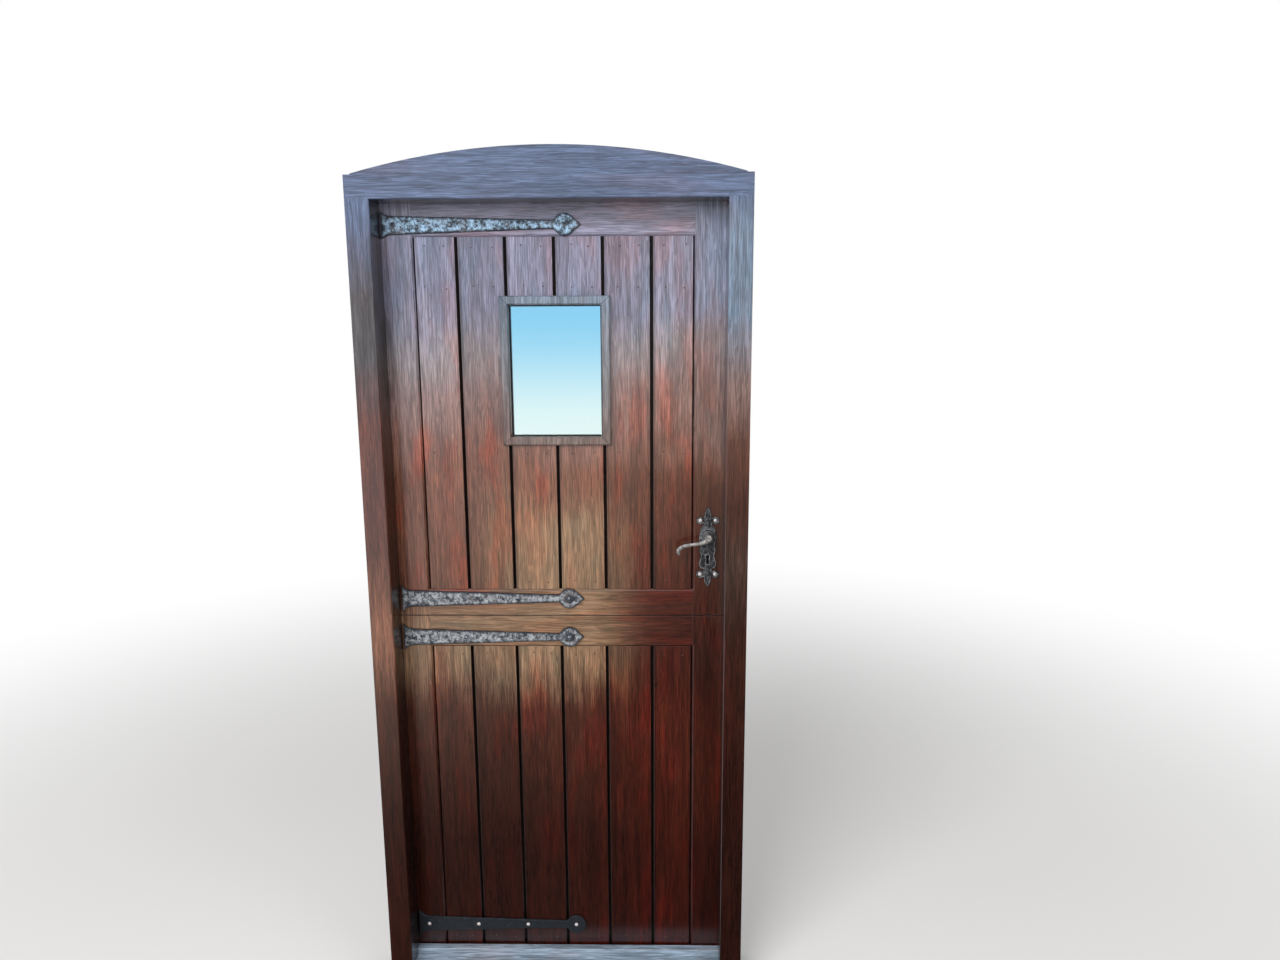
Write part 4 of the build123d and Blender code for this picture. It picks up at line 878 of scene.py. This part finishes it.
def boxMesh(name, low, high, rounded):
    body = bmesh.new()
    bmesh.ops.create_cube(body, size=1)
    for vertex in body.verts:
        vertex.co = Vector([(a + b) / 2 + (b - a) * c for a, b, c in zip(low, high, vertex.co)])
    bmesh.ops.bevel(body, geom=body.edges[:], offset=rounded, segments=2, affect="EDGES")
    mesh = bpy.data.meshes.new(name)
    body.to_mesh(mesh)
    body.free()
    return mesh


def makeGlazing():
    low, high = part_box("glazing_unit")
    edge, pane = unit["round"], unit["pane"]
    panes = [boxMesh("outerPane", low, (high[0], low[1] + pane, high[2]), edge),
             boxMesh("innerPane", (low[0], high[1] - pane, low[2]), high, edge)]
    glass = joinMeshes("glass_panes", panes, [skyGlass])
    near, far, bar = low[1] + pane, high[1] - pane, unit["bar"]
    sides = [((low[0], near, low[2]), (low[0] + bar, far, high[2])),
             ((high[0] - bar, near, low[2]), (high[0], far, high[2])),
             ((low[0] + bar, near, low[2]), (high[0] - bar, far, low[2] + bar)),
             ((low[0] + bar, near, high[2] - bar), (high[0] - bar, far, high[2]))]
    spacer = joinMeshes("spacer_bar", [boxMesh("side", a, b, edge) for a, b in sides], [spacerSteel])
    for piece, slotName in ((glass, "glass"), (spacer, "bright_steel")):
        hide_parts("glazing_unit")
        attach(piece, "upper_leaf")


makeGlazing()
print("window glazed")

# the lock's levers close the view through the keyhole; their near-black colour is painted shade inside the lock
pack = {"width": 0.019, "below": 0.020, "above": 0.016, "near": 0.0955, "thick": 0.0012, "pitch": 0.0016,
        "count": 4, "keyDrop": 0.0265, "clear": 0.0012, "round": 0.0003}


def makeLeverPack():
    keyX = (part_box("spindle")[0][0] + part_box("spindle")[1][0]) / 2
    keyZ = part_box("deadbolt")[1][2] - pack["keyDrop"]
    plates = []
    for step in range(pack["count"]):
        near = pack["near"] + step * pack["pitch"]
        low = (keyX - pack["width"] / 2, near, keyZ - pack["below"])
        high = (keyX + pack["width"] / 2 - pack["clear"], near + pack["thick"], keyZ + pack["above"])
        plates.append(boxMesh("plate", low, high, pack["round"]))
    piece = joinMeshes("lock_levers", plates, [shadedLeverSteel])
    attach(piece, "upper_leaf")


makeLeverPack()

# studio
studio = {"floorSize": 80.0, "floorColour": (0.80, 0.79, 0.78), "fadeFrom": 1.2, "fadeTo": 4.5,
          "keyPlace": (-1.6, -3.2, 3.6), "keySize": 2.6, "keyPower": 150.0,
          "fillPlace": (2.8, -2.4, 1.8), "fillSize": 2.0, "fillPower": 30.0}
# the sky in the gloss: its foot rises towards +X by tilt, and the ranges are heights on the sky's sphere
sky = {"tilt": -0.7, "warmFrom": (-0.12, 0.0), "darkFrom": (-0.36, -0.12), "warm": (1.0, 0.84, 0.70),
       "cool": (0.96, 0.98, 1.08), "dark": (0.02, 0.02, 0.02), "even": (0.55, 0.55, 0.55)}
camera = {"place": (0.2363, -2.0044, 1.7260), "yaw": 0.01578, "pitch": -0.17548, "roll": -0.00455,
          "lens": 23.906, "sensor": 36.0, "near": 0.05}


def makeCamera():
    data = bpy.data.cameras.new("camera")
    data.lens, data.sensor_width = camera["lens"], camera["sensor"]
    data.clip_start = camera["near"]
    piece = bpy.data.objects.new("camera", data)
    scene.collection.objects.link(piece)
    turn = (Matrix.Rotation(camera["yaw"], 4, "Z") @ Matrix.Rotation(quarter + camera["pitch"], 4, "X")
            @ Matrix.Rotation(camera["roll"], 4, "Z"))
    piece.matrix_world = Matrix.Translation(camera["place"]) @ turn
    scene.camera = piece


def makeLight(name, place, size, power, aim=(0, 0, 1.1)):
    data = bpy.data.lights.new(name, "AREA")
    data.energy, data.size = power, size
    piece = bpy.data.objects.new(name, data)
    scene.collection.objects.link(piece)
    piece.location = place
    piece.visible_glossy = False
    piece.rotation_euler = (Vector(aim) - Vector(place)).to_track_quat("-Z", "Y").to_euler()


def makeFloor():
    half = studio["floorSize"] / 2
    mesh = bpy.data.meshes.new("floor")
    corners = [(-half, -half, 0), (half, -half, 0), (half, half, 0), (-half, half, 0)]
    mesh.from_pydata(corners, [], [(0, 1, 2, 3)])
    floor = bpy.data.objects.new("floor", mesh)
    scene.collection.objects.link(floor)
    # the paint keeps the shadow near the door and fades into the white background
    material, tree, shader = startMaterial("floorPaint")
    shader.inputs["Base Color"].default_value = (*studio["floorColour"], 1)
    shader.inputs["Roughness"].default_value = 0.9
    place = addNode(tree, "ShaderNodeTexCoord").outputs["Object"]
    away = addNode(tree, "ShaderNodeVectorMath", {"operation": "LENGTH"}, {0: place}).outputs["Value"]
    path = addNode(tree, "ShaderNodeLightPath")
    seen = math2(tree, "MAXIMUM", path.outputs["Is Camera Ray"],
                 math2(tree, "MAXIMUM", path.outputs["Is Glossy Ray"], path.outputs["Is Transmission Ray"]))
    white = addNode(tree, "ShaderNodeEmission", None, {"Color": (1, 1, 1, 1), "Strength": 1.0})
    share = times(tree, spread(tree, away, studio["fadeFrom"], studio["fadeTo"]), seen)
    faded = addNode(tree, "ShaderNodeMixShader", None, {0: share})
    tree.links.new(shader.outputs[0], faded.inputs[1])
    tree.links.new(white.outputs[0], faded.inputs[2])
    tree.links.new(faded.outputs[0], tree.nodes["Material Output"].inputs[0])
    mesh.materials.append(material)
    floor.visible_glossy = False


# world: white to the camera and through the glass, an even grey as light, and in the gloss a sky that
# is warm low down and dark below that
def makeWorld():
    world = bpy.data.worlds.new("studio")
    scene.world = world
    world.use_nodes = True
    tree = world.node_tree
    tree.nodes.clear()
    look = addNode(tree, "ShaderNodeTexCoord").outputs["Generated"]
    x, _, z = splitXYZ(tree, look)
    level = plus(tree, z, times(tree, x, sky["tilt"]))
    high = blendColour(tree, spread(tree, level, *sky["warmFrom"]), sky["warm"], sky["cool"])
    whole = blendColour(tree, spread(tree, level, *sky["darkFrom"]), sky["dark"], high)
    path = addNode(tree, "ShaderNodeLightPath")
    seen = math2(tree, "MAXIMUM", path.outputs["Is Camera Ray"], path.outputs["Is Transmission Ray"])
    shown = blendColour(tree, path.outputs["Is Glossy Ray"], sky["even"], whole)
    shown = blendColour(tree, seen, shown, (1, 1, 1))
    light = addNode(tree, "ShaderNodeBackground", None, {"Color": shown, "Strength": 1.0})
    tree.links.new(light.outputs[0], addNode(tree, "ShaderNodeOutputWorld").inputs[0])


makeCamera()
makeLight("keyLight", studio["keyPlace"], studio["keySize"], studio["keyPower"])
makeLight("fillLight", studio["fillPlace"], studio["fillSize"], studio["fillPower"])
makeFloor()
makeWorld()
print("studio made")
